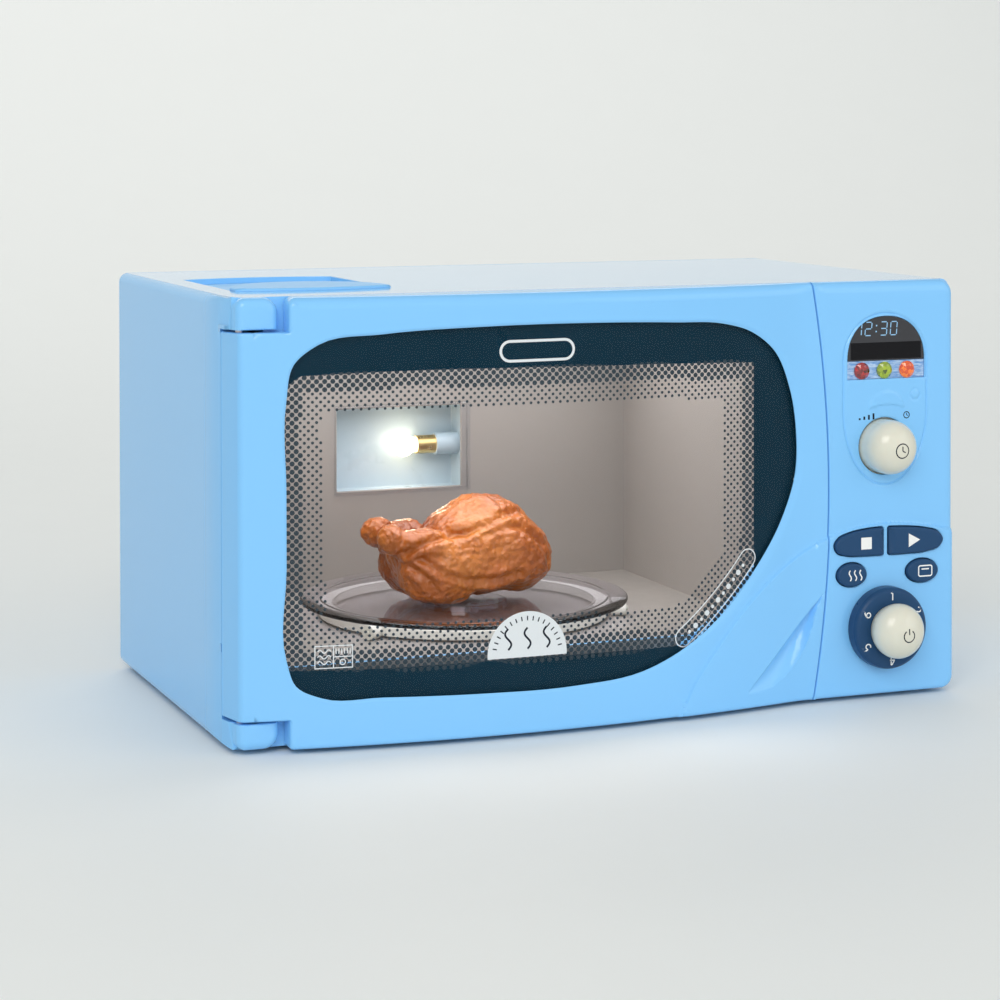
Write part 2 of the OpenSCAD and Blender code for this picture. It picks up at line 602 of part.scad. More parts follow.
module wire_loom() place() {
  // lamp to board
  color([0.85, 0.15, 0.12]) wire([[-2.1, 85, 96], [10, 84, 97], [40, 84, 92], [70, 83, 87], [92, 66, 82], [99, 36, 79], [104, 0, 84], [114, -40, 92], [116, -54, 92]], 0.8);
  color([0.12, 0.12, 0.13]) wire([[-2.1, 85, 93], [10, 82, 90], [40, 83, 84], [70, 82, 77], [91, 64, 72], [98, 32, 71], [108, 2, 76], [117, -38, 88], [118.5, -54, 90]], 0.8);
  // battery box to board
  color([0.85, 0.15, 0.12]) wire([[-81.9, 20, 165], [-60, 24, 162], [0, 30, 160], [60, 24, 162], [90, 4, 150], [110, -20, 120], [126, -44, 96], [128, -54, 92]], 0.8);
  color([0.12, 0.12, 0.13]) wire([[-81.9, 8, 165], [-60, 12, 162], [0, 18, 160], [60, 14, 163], [92, -4, 146], [114, -26, 116], [130, -46, 96], [131.5, -54, 91]], 0.8);
}

// ---- door --------------------------------------------------------------
module bow(g = 0) translate([xc, yc]) circle(bow_r - g, $fn = 720);
module door_plan() intersection() {
  union() {
    intersection() { bow(); translate([-157, -100]) square([86 + 157, 100 + yd]); }
    translate([86, yp]) square([14.5, yd - yp]);
    intersection() { translate([ax, ay]) circle(barrel_r, $fn = 180); translate([-170, yp]) square([40, 40]); }
  }
  side_plan();
}
module door_frame() place() color(sky) difference() {
  union() {
    intersection() {
      zex(zb, zt) door_plan();
      yex(-100, -60) left_of_seam(-seam_gap / 2);
    }
    // raised lower right corner
    intersection() {
      zex(zb, zt) { intersection() { bow(-1.2); translate([20, -100]) square([66, 21]); } translate([84, ys]) square([16.5, ys < yd ? yd - ys : 1]); }
      yex(-100, -60) intersection() { left_of_seam(-seam_gap / 2); raised(); }
    }
  }
  // notches around the hinge blocks
  box(-170, -136.3, -100, -60, 162.9, 200);
  box(-170, -136.3, -100, -60, -1, zb + 11.4);
  // window opening with a rebate for the pane
  yex(-100, -60) window();
  difference() {
    yex(-100, -60) window(2.5);
    zex(-1, 200) difference() { bow(-20); bow(1); }
  }
  // pocket of the inner panel
  yex(yd - 2, yd + 1) panel_outline(0.15);
  // hollow inside
  difference() {
    intersection() {
      zex(zb + 3, zt - 3) bow(2.6);
      yex(-98, yd) panel_outline(-1.5);
    }
    yex(-100, -60) window(5);
    yex(-100, -60) translate([40, 0]) square([60, 66]);
    for (p = door_bosses) rody(p[0], p[1], -98, -60, 3.4);
  }
  // finger scoop near the right edge
  scoop();
  // hinge bores and screw holes
  rodz(ax, ay, 150, 165, pin_r + 0.05);
  rodz(ax, ay, zb + 10, 26.6, pin_r + 0.05);
  for (p = door_bosses) rody(p[0], p[1], yd - depth(p) - 0.2, yd, 1.1);
}
function depth(p) = p[0] > 75 ? 4 : 7;
door_bosses = [[-128, 170], [-20, 170.4], [80, 168], [-128, 9.6], [-20, 9.6], [38, 10.2]];
module panel_outline(g = 0) intersection() {
  union() {
    translate([-143.5 - g, 16 - g]) square([40, 144 + 2 * g]);
    translate([-133.5 - g, 6 - g]) square([240, 168 + 2 * g]);
  }
  left_of_seam(-4 + g);
  translate([0, -10]) difference() {
    translate([-200, 0]) square([400, 220]);
    polygon([[43 + g, 0], [43 + g, 36 - g], [56 + g, 48 - g], [70 + g, 63 - g], [80 + g, 76 - g], [130, 76 - g], [130, 0]]);
  }
}
module scoop() translate([81.5, -86.6, 24.1]) rotate([0, -44.8, 0]) rotate([0, 90, 0])
  rotate_extrude($fn = 64) intersection() {
    translate([-33.1, 0]) circle(39.2, $fn = 256);
    translate([0, -40]) square([20, 80]);
  }
module door_window() place() color([0.10, 0.24, 0.32, 0.5]) intersection() {
  zex(zb, zt) intersection() { difference() { bow(1); bow(2.5); } translate([-150, -100]) square([240, 19.12]); }
  yex(-100, -60) window(2.3);
}
module door_inner_panel() place() color(sky) difference() {
  yex(yd - 2, yd) panel_outline();
  yex(yd - 3, yd + 1) window(2);
  for (p = door_bosses) rody(p[0], p[1], yd - 3, yd + 1, 1.3);
  for (p = door_bosses) rody(p[0], p[1], yd - 0.9, yd + 1, 2.4);
  box(83.9, 88.1, yd - 3, yd + 1, 86.9, 95.1);
}
module door_latch() place() color(ivory) {
  box(84, 88, yd - 2, -70.5, 87, 95);
  rodz(86, -70.5, 87, 95, 2, 32);
}
module door_screws() place() color(steel) for (p = door_bosses) {
  rody(p[0], p[1], yd - 0.9, yd - 0.05, 2.2);
  rody(p[0], p[1], yd - depth(p), yd - 0.9, 1.1);
}

// ---- battery cover -------------------------------------------------------
module battery_cover() place() color(sky) difference() {
  union() {
    zex(hz, hz + 1.2) hatch(0.3);
    // raised grip at the front, round towards the back
    intersection() {
      zex(hz, zt + 1.2) hatch(0.3);
      rodz(-113, -41.1, 170, 182, 33, 128);
    }
  }
  rodz(-113, -3.5, 170, 180, 1.7);
}
module cover_screw() place() color(steel) difference() {
  union() {
    rodz(-113, -3.5, hz + 1.2, hz + 2.6, 2.8);
    rodz(-113, -3.5, 164, hz + 1.2, 1.35);
  }
  for (a = [45, 135]) translate([-113, -3.5, hz + 1.9]) rotate([0, 0, a]) translate([-2, -0.4, 0]) cube([4, 0.8, 1]);
}

// ---- controls ------------------------------------------------------------
module timer_knob() place() color(ivory) {
  // distance is counted from the inside of the panel face towards the front
  turned(timer[0], timer[1], yp + skin + 1.3, [[0, 0], [timer_r + 1.8, 0], [timer_r + 1.8, 1], [timer_r, 1],
    [timer_r, 8.5], [timer_r - 0.4, 11.2], [timer_r - 1.8, 14], [timer_r - 4.6, 16.5], [timer_r - 8, 17.7], [0, 18]]);
  rody(timer[0], timer[1], yp + skin + 1.3, -64, shaft_r);
}
module power_dial() place() color(navy) {
  difference() {
    turned(dial[0], dial[1], ys - 0.3, [[0, 0], [dial_r, 0], [dial_r, 4.6], [dial_r - 0.5, 6], [dial_r - 1.6, 6.9], [0, 6.9]]);
    rody(dial[0], dial[1], -95, -88.9, 10.1, 96);
  }
  rody(dial[0], dial[1], ys - 0.3, -64, shaft_r);
}
module power_cap() place() color(ivory) turned(dial[0], dial[1], -88.9,
  [[0, 0], [10, 0], [10, 2.6], [11.2, 4.8], [11.45, 7.3], [11, 9.9], [9.4, 12.5], [6.6, 14.5], [3.2, 15.4], [0, 15.6]]);
module button(x, z) {
  yex(ys - 1.6, -80.2) children(0);
  yex(-80.2, -79.2) children(1);
  rody(x, z, -79.2, -68.2, 2.4);
}
module stop_button() place() color(navy) button(113.5, 66.6) { stop2d(); stop2d(0.9); }
module start_button() place() color(navy) button(138, 66.6) { start2d(); start2d(0.9); }
module grill_button() place() color(navy) button(109.7, 53.3) { grill2d(); grill2d(1.4); }
module oven_button() place() color(navy) button(139.5, 53.2) { oven2d(); oven2d(1.4); }

rear_housing();
top_cover();
base_plate();
feet();
base_screws();
housing_screws();
front_frame();
control_panel();
cavity_liner();
lamp_housing();
lamp_lens();
lamp_bulb();
bulb_holder();
battery_box();
battery_contacts();
battery_cells();
display_lens();
display_card();
gem_red();
gem_green();
gem_amber();
control_pcb();
keypad();
timer_switch();
power_switch();
speaker();
motor();
gearbox_frame();
gear_axle();
latch_catch();
hinge_pin_upper();
hinge_pin_lower();
wire_loom();
door_frame();
door_window();
door_inner_panel();
door_latch();
door_screws();
battery_cover();
cover_screw();
output_gear();
drive_coupler();
turntable_plate();
play_chicken();
compound_gear();
motor_pinion();
roller_ring();
roller_wheel_a();
roller_wheel_b();
roller_wheel_c();
timer_knob();
power_dial();
power_cap();
stop_button();
start_button();
grill_button();
oven_button();
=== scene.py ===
import math
import json
import random

import bpy
import bmesh
import numpy as np
from mathutils import Vector, Matrix, Quaternion, noise
from mathutils.geometry import delaunay_2d_cdt


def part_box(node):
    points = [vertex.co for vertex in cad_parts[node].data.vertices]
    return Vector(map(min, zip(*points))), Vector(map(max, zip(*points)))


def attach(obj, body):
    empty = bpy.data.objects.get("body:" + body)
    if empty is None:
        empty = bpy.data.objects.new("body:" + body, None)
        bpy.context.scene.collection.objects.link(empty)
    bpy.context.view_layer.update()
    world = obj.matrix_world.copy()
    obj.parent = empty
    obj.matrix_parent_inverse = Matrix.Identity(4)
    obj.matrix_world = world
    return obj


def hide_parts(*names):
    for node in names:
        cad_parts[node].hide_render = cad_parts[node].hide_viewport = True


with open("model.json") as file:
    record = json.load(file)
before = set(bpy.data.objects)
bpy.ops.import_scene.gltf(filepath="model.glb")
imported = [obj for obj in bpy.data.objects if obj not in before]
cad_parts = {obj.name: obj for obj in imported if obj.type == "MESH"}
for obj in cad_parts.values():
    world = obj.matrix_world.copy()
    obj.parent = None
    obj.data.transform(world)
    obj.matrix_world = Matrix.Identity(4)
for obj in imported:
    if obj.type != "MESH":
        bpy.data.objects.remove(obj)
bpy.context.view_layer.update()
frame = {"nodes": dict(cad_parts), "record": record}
scene = bpy.context.scene
NODES = frame["nodes"]
MM = 0.001
random.seed(7)

# ---------------------------------------------------------------- camera
cam_data = bpy.data.cameras.new("camera")
cam = bpy.data.objects.new("camera", cam_data)
scene.collection.objects.link(cam)
scene.camera = cam
cam_data.sensor_width = 36
cam_data.sensor_fit = "HORIZONTAL"
cam_data.lens = 94.494
cam_data.shift_x = 0.0
cam_data.shift_y = -0.34
cam_data.clip_start, cam_data.clip_end = 0.05, 50
yaw, pitch, roll = math.radians(21.4209), math.radians(0.96366), math.radians(-0.06158)
fwd = Vector((math.sin(yaw) * math.cos(pitch), math.cos(yaw) * math.cos(pitch), -math.sin(pitch)))
right = Vector((math.cos(yaw), -math.sin(yaw), 0))
up = right.cross(fwd)
r2 = right * math.cos(roll) + up * math.sin(roll)
u2 = up * math.cos(roll) - right * math.sin(roll)
rot = Matrix((r2, u2, -fwd)).transposed()
DY = round(float(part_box("rear_housing")[1][1]) * 1000 - 95.5, 3)
cam.matrix_world = Matrix.Translation((-0.428322, -1.05272 + DY * MM, 0.246015)) @ rot.to_4x4()

# ---------------------------------------------------------------- sizes (mm), Y counted as in the CAD source
HW, ZB = 160.0, 2.0
ZT = round(float(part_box("rear_housing")[1][2]) * 1000, 3)
XC, SAG = -37.0, 12.5
YP, YS, YD = -83.0, -84.2, -78.8
BOW_R = (123.0 ** 2 + SAG ** 2) / (2 * SAG)
YC = YP - SAG + BOW_R
SEAM_C, SEAM_R = (-389.2, 89.0), 489.0
GAP = 0.6
TT = (-32.0, 0.5)
FLOOR = 32.0
TIMER, DIAL = (126.2, 106.6), (125.3, 30.7)

WIN = [(-137.5, 134), (-134.5, 148.5), (-125, 156), (-100, 159.5), (-60, 161.4),
       (-15, 161.6), (25, 160.4), (48, 159), (62, 155), (74, 146), (81, 131.5),
       (84.5, 113), (84, 95), (77, 76.5), (64, 57.5), (48, 40.5), (30, 28.2),
       (10, 20.3), (-20, 17.2), (-60, 17.2), (-100, 18.4), (-124, 19.4),
       (-134, 24.5), (-137.5, 34), (-137.5, 70), (-137.5, 100)]
SWEEP = [(26, -1), (33, 13), (40, 22), (48, 31.5), (58, 42), (70, 52), (82, 59.8),
         (94, 65.6), (104, 69.2), (114, 71.4), (125, 72.2), (137, 71.7), (149, 70), (161, 67.4)]
STOP = [(101.8, 66), (103.4, 68.6), (108, 70.6), (116, 72), (124.8, 72.5), (124.8, 66.5),
        (124.8, 60.9), (116, 61), (107, 61.6), (103, 63)]
START = [(127.4, 72.5), (136, 72.1), (146, 70.8), (151.5, 69), (153.4, 66.2), (151.8, 63.2),
         (146, 61.4), (136, 60.9), (127.4, 60.9), (127.4, 66.5)]


def spline(pts, n, closed=True):
    p = np.array(pts, float)
    m = len(p)
    if not closed:
        p = np.vstack([2 * p[0] - p[1], p, 2 * p[-1] - p[-2]])
        rng = range(1, m)
        get = lambda i: p[i]
    else:
        rng = range(m)
        get = lambda i: p[i % m]
    out = []
    for i in rng:
        a, b, c, e = get(i - 1), get(i), get(i + 1), get(i + 2)
        d = np.linalg.norm(c - b)
        da, de = np.linalg.norm(b - a), np.linalg.norm(e - c)
        tb = ((c - b) / d * da + (b - a) / da * d) / (da + d)
        tc = ((e - c) / de * d + (c - b) / d * de) / (d + de)
        for k in range(n):
            t = k / n
            out.append((2 * t ** 3 - 3 * t * t + 1) * b + (t ** 3 - 2 * t * t + t) * d * tb
                       + (3 * t * t - 2 * t ** 3) * c + (t ** 3 - t * t) * d * tc)
    if not closed:
        out.append(p[m])
    return np.array(out)


def grow(p, g):
    d = np.roll(p, -1, 0) - np.roll(p, 1, 0)
    d /= np.linalg.norm(d, axis=1)[:, None]
    return p + g * np.c_[-d[:, 1], d[:, 0]]


def smooth(a, b, x):
    t = np.clip((x - a) / (b - a), 0, 1)
    return t * t * (3 - 2 * t)


def bow(x, g=0.0):
    x = np.asarray(x, float)
    y = YC - np.sqrt((BOW_R - g) ** 2 - (np.clip(x, -160, 86) - XC) ** 2)
    return y


def door_y(x):
    x = np.asarray(x, float)
    y = bow(x)
    y = np.where(x > 80, YP - 0.2007 * np.clip(92 - x, 0, None) ** 2 / 24, y)
    return y


def side_x(y):
    return -HW + (y + 52.0) ** 2 / 220.0 if y < -52 else -HW


def dist(P, loop, closed=True, chunk=4000):
    """distance of points to a polyline and the place on it"""
    A = np.asarray(loop, float)
    B = np.roll(A, -1, 0)
    if not closed:
        A, B = A[:-1], np.asarray(loop, float)[1:]
    D = B - A
    L = (D ** 2).sum(1) + 1e-18
    best, where = np.empty(len(P)), np.empty(len(P))
    for s in range(0, len(P), chunk):
        q = P[s:s + chunk]
        t = np.clip(((q[:, None] - A) * D).sum(2) / L, 0, 1)
        d = np.linalg.norm(q[:, None] - A - t[..., None] * D, axis=2)
        k = d.argmin(1)
        r = np.arange(len(q))
        best[s:s + chunk] = d[r, k]
        where[s:s + chunk] = k + t[r, k]
    return best, where


def inside(P, loop):
    A = np.asarray(loop, float)
    B = np.roll(A, -1, 0)
    res = np.zeros(len(P), bool)
    x, y = P[:, 0], P[:, 1]
    for a, b in zip(A, B):
        if a[1] == b[1]:
            continue
        c = (a[1] > y) != (b[1] > y)
        res ^= c & (x < (b[0] - a[0]) * (y - a[1]) / (b[1] - a[1]) + a[0])
    return res


def circle(cx, cz, r, n=96, a0=0.0):
    a = a0 - np.arange(n) * 2 * np.pi / n
    return np.c_[cx + r * np.cos(a), cz + r * np.sin(a)]


def ellipse(cx, cz, a, b, n=64):
    t = -np.arange(n) * 2 * np.pi / n
    return np.c_[cx + a * np.cos(t), cz + b * np.sin(t)]


def densify(p, step, closed=True):
    p = np.asarray(p, float)
    out = []
    m = len(p)
    for i in range(m if closed else m - 1):
        a, b = p[i], p[(i + 1) % m]
        k = max(1, int(math.ceil(np.linalg.norm(b - a) / step)))
        for j in range(k):
            out.append(a + (b - a) * j / k)
    if not closed:
        out.append(p[-1])
    return np.array(out)


def round_poly(pts, radii, n=6):
    """polygon with rounded corners"""
    p = np.array(pts, float)
    m = len(p)
    out = []
    for i in range(m):
        a, b, c = p[i - 1], p[i], p[(i + 1) % m]
        r = radii[i]
        if r <= 0:
            out.append(b)
            continue
        u, v = (a - b) / np.linalg.norm(a - b), (c - b) / np.linalg.norm(c - b)
        ang = math.acos(np.clip(u @ v, -1, 1))
        t = r / math.tan(ang / 2)
        q = (u + v) / np.linalg.norm(u + v)
        cc = b + q * r / math.sin(ang / 2)
        s, e = b + u * t - cc, b + v * t - cc
        a0, a1 = math.atan2(s[1], s[0]), math.atan2(e[1], e[0])
        d = (a1 - a0 + math.pi) % (2 * math.pi) - math.pi
        for k in range(n + 1):
            w = a0 + d * k / n
            out.append(cc + r * np.array([math.cos(w), math.sin(w)]))
    return np.array(out)


def mesh_obj(name, verts, faces, mat, angle=40, smooth_it=True):
    me = bpy.data.meshes.new(name)
    me.from_pydata(((np.asarray(verts, float) + (0, DY, 0)) * MM).tolist(), [], [list(map(int, f)) for f in faces])
    me.validate()
    bm = bmesh.new()
    bm.from_mesh(me)
    bmesh.ops.remove_doubles(bm, verts=bm.verts, dist=1e-6)
    bmesh.ops.recalc_face_normals(bm, faces=bm.faces)
    bm.to_mesh(me)
    bm.free()
    for m in (mat if isinstance(mat, (list, tuple)) else [mat]):
        me.materials.append(m)
    if smooth_it:
        me.shade_smooth()
        me.set_sharp_from_angle(angle=math.radians(angle))
    o = bpy.data.objects.new(name, me)
    scene.collection.objects.link(o)
    return o


def fillet(d, r):
    r = np.maximum(r, 1e-6)
    k = np.clip(r - d, 0, None)
    return r - np.sqrt(np.clip(r * r - k * k, 0, None))


def triangulate(outer, holes, extra):
    """constrained triangulation; returns points, triangles and the index lists of the loops"""
    loops = [np.asarray(outer, float)] + [np.asarray(h, float) for h in holes]
    pts, edges, ids = [], [], []
    for lp in loops:
        b = len(pts)
        pts += lp.tolist()
        n = len(lp)
        edges += [(b + i, b + (i + 1) % n) for i in range(n)]
        ids.append(list(range(b, b + n)))
    pts += np.asarray(extra, float).reshape(-1, 2).tolist()
    v, e, f, ov, oe, of = delaunay_2d_cdt([Vector(p) for p in pts], edges, [], 0, 1e-6, True)
    back = {}
    for i, src in enumerate(ov):
        for s in src:
            back[s] = i
    P = np.array([[q.x, q.y] for q in v])
    T = np.array([list(t) for t in f if len(t) == 3])
    c = P[T].mean(1)
    keep = inside(c, loops[0])
    for h in loops[1:]:
        keep &= ~inside(c, h)
    return P, T[keep], [[back[i] for i in g] for g in ids]


def ring_points(loop, offs, closed=True, both=False):
    """points at given distances beside a loop, on its inner side (left of travel) or both sides"""
    p = np.asarray(loop, float)
    if closed:
        d = np.roll(p, -1, 0) - np.roll(p, 1, 0)
    else:
        d = np.gradient(p, axis=0)
    d /= np.linalg.norm(d, axis=1)[:, None] + 1e-12
    n = np.c_[-d[:, 1], d[:, 0]]
    out = []
    for o in offs:
        for s in ((1, -1) if both else (1,)):
            q = p + n * o * s
            dd, _ = dist(q, p, closed)
            out.append(q[np.abs(dd - abs(o)) < 0.02 + 0.04 * abs(o)])
    return np.vstack(out) if out else np.zeros((0, 2))


def field(lo, hi, step):
    x = np.arange(lo[0] + step / 2, hi[0], step)
    z = np.arange(lo[1] + step / 2, hi[1], step)
    g = np.array([(a + (step / 2 if j % 2 else 0), b) for j, b in enumerate(z) for a in x])
    return g


# ---------------------------------------------------------------- materials
def lin(r, g, b):
    f = lambda c: c / 12.92 if c <= 0.04045 else ((c + 0.055) / 1.055) ** 2.4
    return (f(r / 255), f(g / 255), f(b / 255), 1.0)


def nodes_of(name):
    m = bpy.data.materials.new(name)
    m.use_nodes = True
    nt = m.node_tree
    b = nt.nodes["Principled BSDF"]
    return m, nt, b


def plastic(name, col, rough=0.3, spread=0.03, grain=0.5, bump=0.04, coat=0.0, scratch=0.06, spec=0.5, sss=0.0):
    """moulded plastic: faint tone drift, fine grain, rub marks in the gloss"""
    m, nt, b = nodes_of(name)
    N, L = nt.nodes, nt.links
    tc = N.new("ShaderNodeTexCoord")
    drift = N.new("ShaderNodeTexNoise")
    drift.inputs["Scale"].default_value = 14
    drift.inputs["Detail"].default_value = 3
    L.new(tc.outputs["Object"], drift.inputs["Vector"])
    mix = N.new("ShaderNodeMix")
    mix.data_type = "RGBA"
    c = np.array(col[:3])
    mix.inputs[6].default_value = tuple(np.clip(c * (1 - spread), 0, 1)) + (1,)
    mix.inputs[7].default_value = tuple(np.clip(c * (1 + spread), 0, 1)) + (1,)
    L.new(drift.outputs["Fac"], mix.inputs[0])
    L.new(mix.outputs[2], b.inputs["Base Color"])
    rub = N.new("ShaderNodeTexNoise")
    rub.inputs["Scale"].default_value = 60
    rub.inputs["Detail"].default_value = 6
    rub.inputs["Roughness"].default_value = 0.65
    L.new(tc.outputs["Object"], rub.inputs["Vector"])
    mr = N.new("ShaderNodeMapRange")
    mr.inputs["From Min"].default_value = 0.3
    mr.inputs["From Max"].default_value = 0.7
    mr.inputs["To Min"].default_value = max(0.02, rough - scratch)
    mr.inputs["To Max"].default_value = rough + scratch
    L.new(rub.outputs["Fac"], mr.inputs["Value"])
    L.new(mr.outputs["Result"], b.inputs["Roughness"])
    fine = N.new("ShaderNodeTexNoise")
    fine.inputs["Scale"].default_value = 2600 * grain
    fine.inputs["Detail"].default_value = 2
    L.new(tc.outputs["Object"], fine.inputs["Vector"])
    bp = N.new("ShaderNodeBump")
    bp.inputs["Strength"].default_value = bump
    bp.inputs["Distance"].default_value = 0.00003
    L.new(fine.outputs["Fac"], bp.inputs["Height"])
    L.new(bp.outputs["Normal"], b.inputs["Normal"])
    b.inputs["Specular IOR Level"].default_value = spec
    b.inputs["Coat Weight"].default_value = coat
    b.inputs["Coat Roughness"].default_value = 0.08
    if sss:
        b.inputs["Subsurface Weight"].default_value = sss
        b.inputs["Subsurface Radius"].default_value = (0.4, 0.7, 1.0)
        b.inputs["Subsurface Scale"].default_value = 0.002
    return m


def metal(name, col, rough=0.25, stretch=(1, 1, 1)):
    m, nt, b = nodes_of(name)
    N, L = nt.nodes, nt.links
    tc = N.new("ShaderNodeTexCoord")
    mp = N.new("ShaderNodeMapping")
    mp.inputs["Scale"].default_value = stretch
    L.new(tc.outputs["Object"], mp.inputs["Vector"])
    nz = N.new("ShaderNodeTexNoise")
    nz.inputs["Scale"].default_value = 300
    nz.inputs["Detail"].default_value = 5
    L.new(mp.outputs["Vector"], nz.inputs["Vector"])
    mr = N.new("ShaderNodeMapRange")
    mr.inputs["To Min"].default_value = rough * 0.7
    mr.inputs["To Max"].default_value = rough * 1.4
    L.new(nz.outputs["Fac"], mr.inputs["Value"])
    L.new(mr.outputs["Result"], b.inputs["Roughness"])
    mix = N.new("ShaderNodeMix")
    mix.data_type = "RGBA"
    c = np.array(col[:3])
    mix.inputs[6].default_value = tuple(c * 0.88) + (1,)
    mix.inputs[7].default_value = tuple(np.clip(c * 1.08, 0, 1)) + (1,)
    L.new(nz.outputs["Fac"], mix.inputs[0])
    L.new(mix.outputs[2], b.inputs["Base Color"])
    b.inputs["Metallic"].default_value = 1.0
    return m


def clear(name, tint=(0.97, 0.97, 0.99, 1), rough=0.03, ior=1.5):
    """thin clear plastic: lets light straight through and mirrors by angle"""
    m, nt, b = nodes_of(name)
    N, L = nt.nodes, nt.links
    N.remove(b)
    out = N["Material Output"]
    t = N.new("ShaderNodeBsdfTransparent")
    g = N.new("ShaderNodeBsdfGlossy")
    fr = N.new("ShaderNodeFresnel")
    fr.inputs["IOR"].default_value = ior
    mx = N.new("ShaderNodeMixShader")
    tc = N.new("ShaderNodeTexCoord")
    nz = N.new("ShaderNodeTexNoise")
    nz.inputs["Scale"].default_value = 40
    nz.inputs["Detail"].default_value = 4
    L.new(tc.outputs["Object"], nz.inputs["Vector"])
    mr = N.new("ShaderNodeMapRange")
    mr.inputs["To Min"].default_value = rough * 0.6
    mr.inputs["To Max"].default_value = rough * 1.8
    L.new(nz.outputs["Fac"], mr.inputs["Value"])
    L.new(mr.outputs["Result"], g.inputs["Roughness"])
    t.inputs["Color"].default_value = tint
    ge = N.new("ShaderNodeNewGeometry")
    inner = N.new("ShaderNodeMath")
    inner.operation = "SUBTRACT"
    inner.inputs[0].default_value = 1.0
    L.new(ge.outputs["Backfacing"], inner.inputs[1])
    front_only = N.new("ShaderNodeMath")
    front_only.operation = "MULTIPLY"
    L.new(fr.outputs["Fac"], front_only.inputs[0])
    L.new(inner.outputs[0], front_only.inputs[1])
    L.new(front_only.outputs[0], mx.inputs[0])
    L.new(t.outputs[0], mx.inputs[1])
    L.new(g.outputs[0], mx.inputs[2])
    L.new(mx.outputs[0], out.inputs["Surface"])
    return m


def thick_clear(name, tint=(0.95, 0.95, 0.99, 1), rough=0.02, ior=1.45):
    """solid clear plastic that bends what is seen through it, and lets lamps through"""
    m, nt, b = nodes_of(name)
    N, L = nt.nodes, nt.links
    out = N["Material Output"]
    b.inputs["Base Color"].default_value = tint
    b.inputs["Transmission Weight"].default_value = 1.0
    b.inputs["IOR"].default_value = ior
    tc = N.new("ShaderNodeTexCoord")
    nz = N.new("ShaderNodeTexNoise")
    nz.inputs["Scale"].default_value = 60
    nz.inputs["Detail"].default_value = 3
    L.new(tc.outputs["Object"], nz.inputs["Vector"])
    mr = N.new("ShaderNodeMapRange")
    mr.inputs["To Min"].default_value = rough * 0.5
    mr.inputs["To Max"].default_value = rough * 2
    L.new(nz.outputs["Fac"], mr.inputs["Value"])
    L.new(mr.outputs["Result"], b.inputs["Roughness"])
    t = N.new("ShaderNodeBsdfTransparent")
    t.inputs["Color"].default_value = (0.93, 0.93, 0.96, 1)
    lp = N.new("ShaderNodeLightPath")
    mx = N.new("ShaderNodeMixShader")
    L.new(lp.outputs["Is Shadow Ray"], mx.inputs[0])
    L.new(b.outputs[0], mx.inputs[1])
    L.new(t.outputs[0], mx.inputs[2])
    L.new(mx.outputs[0], out.inputs["Surface"])
    return m


def glow(name, col, strength):
    m, nt, b = nodes_of(name)
    N, L = nt.nodes, nt.links
    tc = N.new("ShaderNodeTexCoord")
    nz = N.new("ShaderNodeTexNoise")
    nz.inputs["Scale"].default_value = 120
    L.new(tc.outputs["Object"], nz.inputs["Vector"])
    mr = N.new("ShaderNodeMapRange")
    mr.inputs["To Min"].default_value = strength * 0.9
    mr.inputs["To Max"].default_value = strength * 1.1
    L.new(nz.outputs["Fac"], mr.inputs["Value"])
    b.inputs["Base Color"].default_value = col
    b.inputs["Emission Color"].default_value = col
    L.new(mr.outputs["Result"], b.inputs["Emission Strength"])
    b.inputs["Roughness"].default_value = 0.3
    return m


SKY = lin(132, 201, 255)
M = {}
M["sky"] = plastic("sky_plastic", SKY, 0.15, 0.006, 0.35, 0.006, 0.0, 0.015)
M["sky_top"] = plastic("sky_roof", SKY, 0.12, 0.006, 0.35, 0.004, 0.6, 0.015)
M["sky_in"] = plastic("sky_inner", SKY, 0.42, 0.01, 0.6, 0.03, 0.0, 0.04)
M["liner"] = plastic("warm_grey", lin(158, 152, 147), 0.38, 0.03, 0.5, 0.06, 0.0, 0.08)
M["lampbox"] = plastic("lamp_blue", lin(186, 204, 214), 0.30, 0.02, 0.5, 0.05)
M["navy"] = plastic("navy_plastic", lin(40, 74, 112), 0.30, 0.03, 0.9, 0.05, 0.0, 0.04, spec=0.15)
M["ivory"] = plastic("ivory_plastic", lin(222, 221, 206), 0.20, 0.02, 0.3, 0.02, 0.2, 0.05, sss=0.08)
M["white"] = plastic("natural_white", lin(232, 229, 218), 0.42, 0.03, 0.6, 0.08)
M["black"] = plastic("black_plastic", lin(32, 33, 36), 0.5, 0.15, 0.8, 0.2)
M["cell"] = plastic("cell_jacket", lin(62, 66, 74), 0.32, 0.12, 0.5, 0.05)
M["rubber"] = plastic("foot_rubber", lin(52, 54, 58), 0.75, 0.12, 0.9, 0.3, spec=0.3)
M["board"] = plastic("board_green", lin(28, 96, 58), 0.35, 0.18, 0.7, 0.12)
M["teal"] = plastic("print_teal", lin(14, 48, 64), 0.30, 0.05, 0.5, 0.02, scratch=0.03, spec=0.1)
M["ink"] = plastic("print_dark", lin(60, 72, 80), 0.35, 0.06, 0.5, 0.02, spec=0.1)
M["paint"] = plastic("print_white", lin(240, 242, 242), 0.40, 0.02, 0.5, 0.02)
M["mark"] = plastic("print_navy", lin(26, 34, 48), 0.40, 0.08, 0.5, 0.02, spec=0.15)
M["smoke"] = plastic("smoked_lens", lin(54, 55, 60), 0.12, 0.06, 0.2, 0.01, 0.3, 0.03, spec=0.3)
M["lcd"] = plastic("lcd_dark", lin(20, 20, 24), 0.16, 0.10, 0.2, 0.01, 0.0, 0.03, spec=0.15)
M["digit"] = plastic("digit_blue", lin(150, 200, 240), 0.3, 0.05, 0.5, 0.01)
M["steel"] = metal("steel", (0.62, 0.63, 0.65), 0.28, (1, 6, 1))
M["brass"] = metal("brass", (0.70, 0.48, 0.20), 0.28)
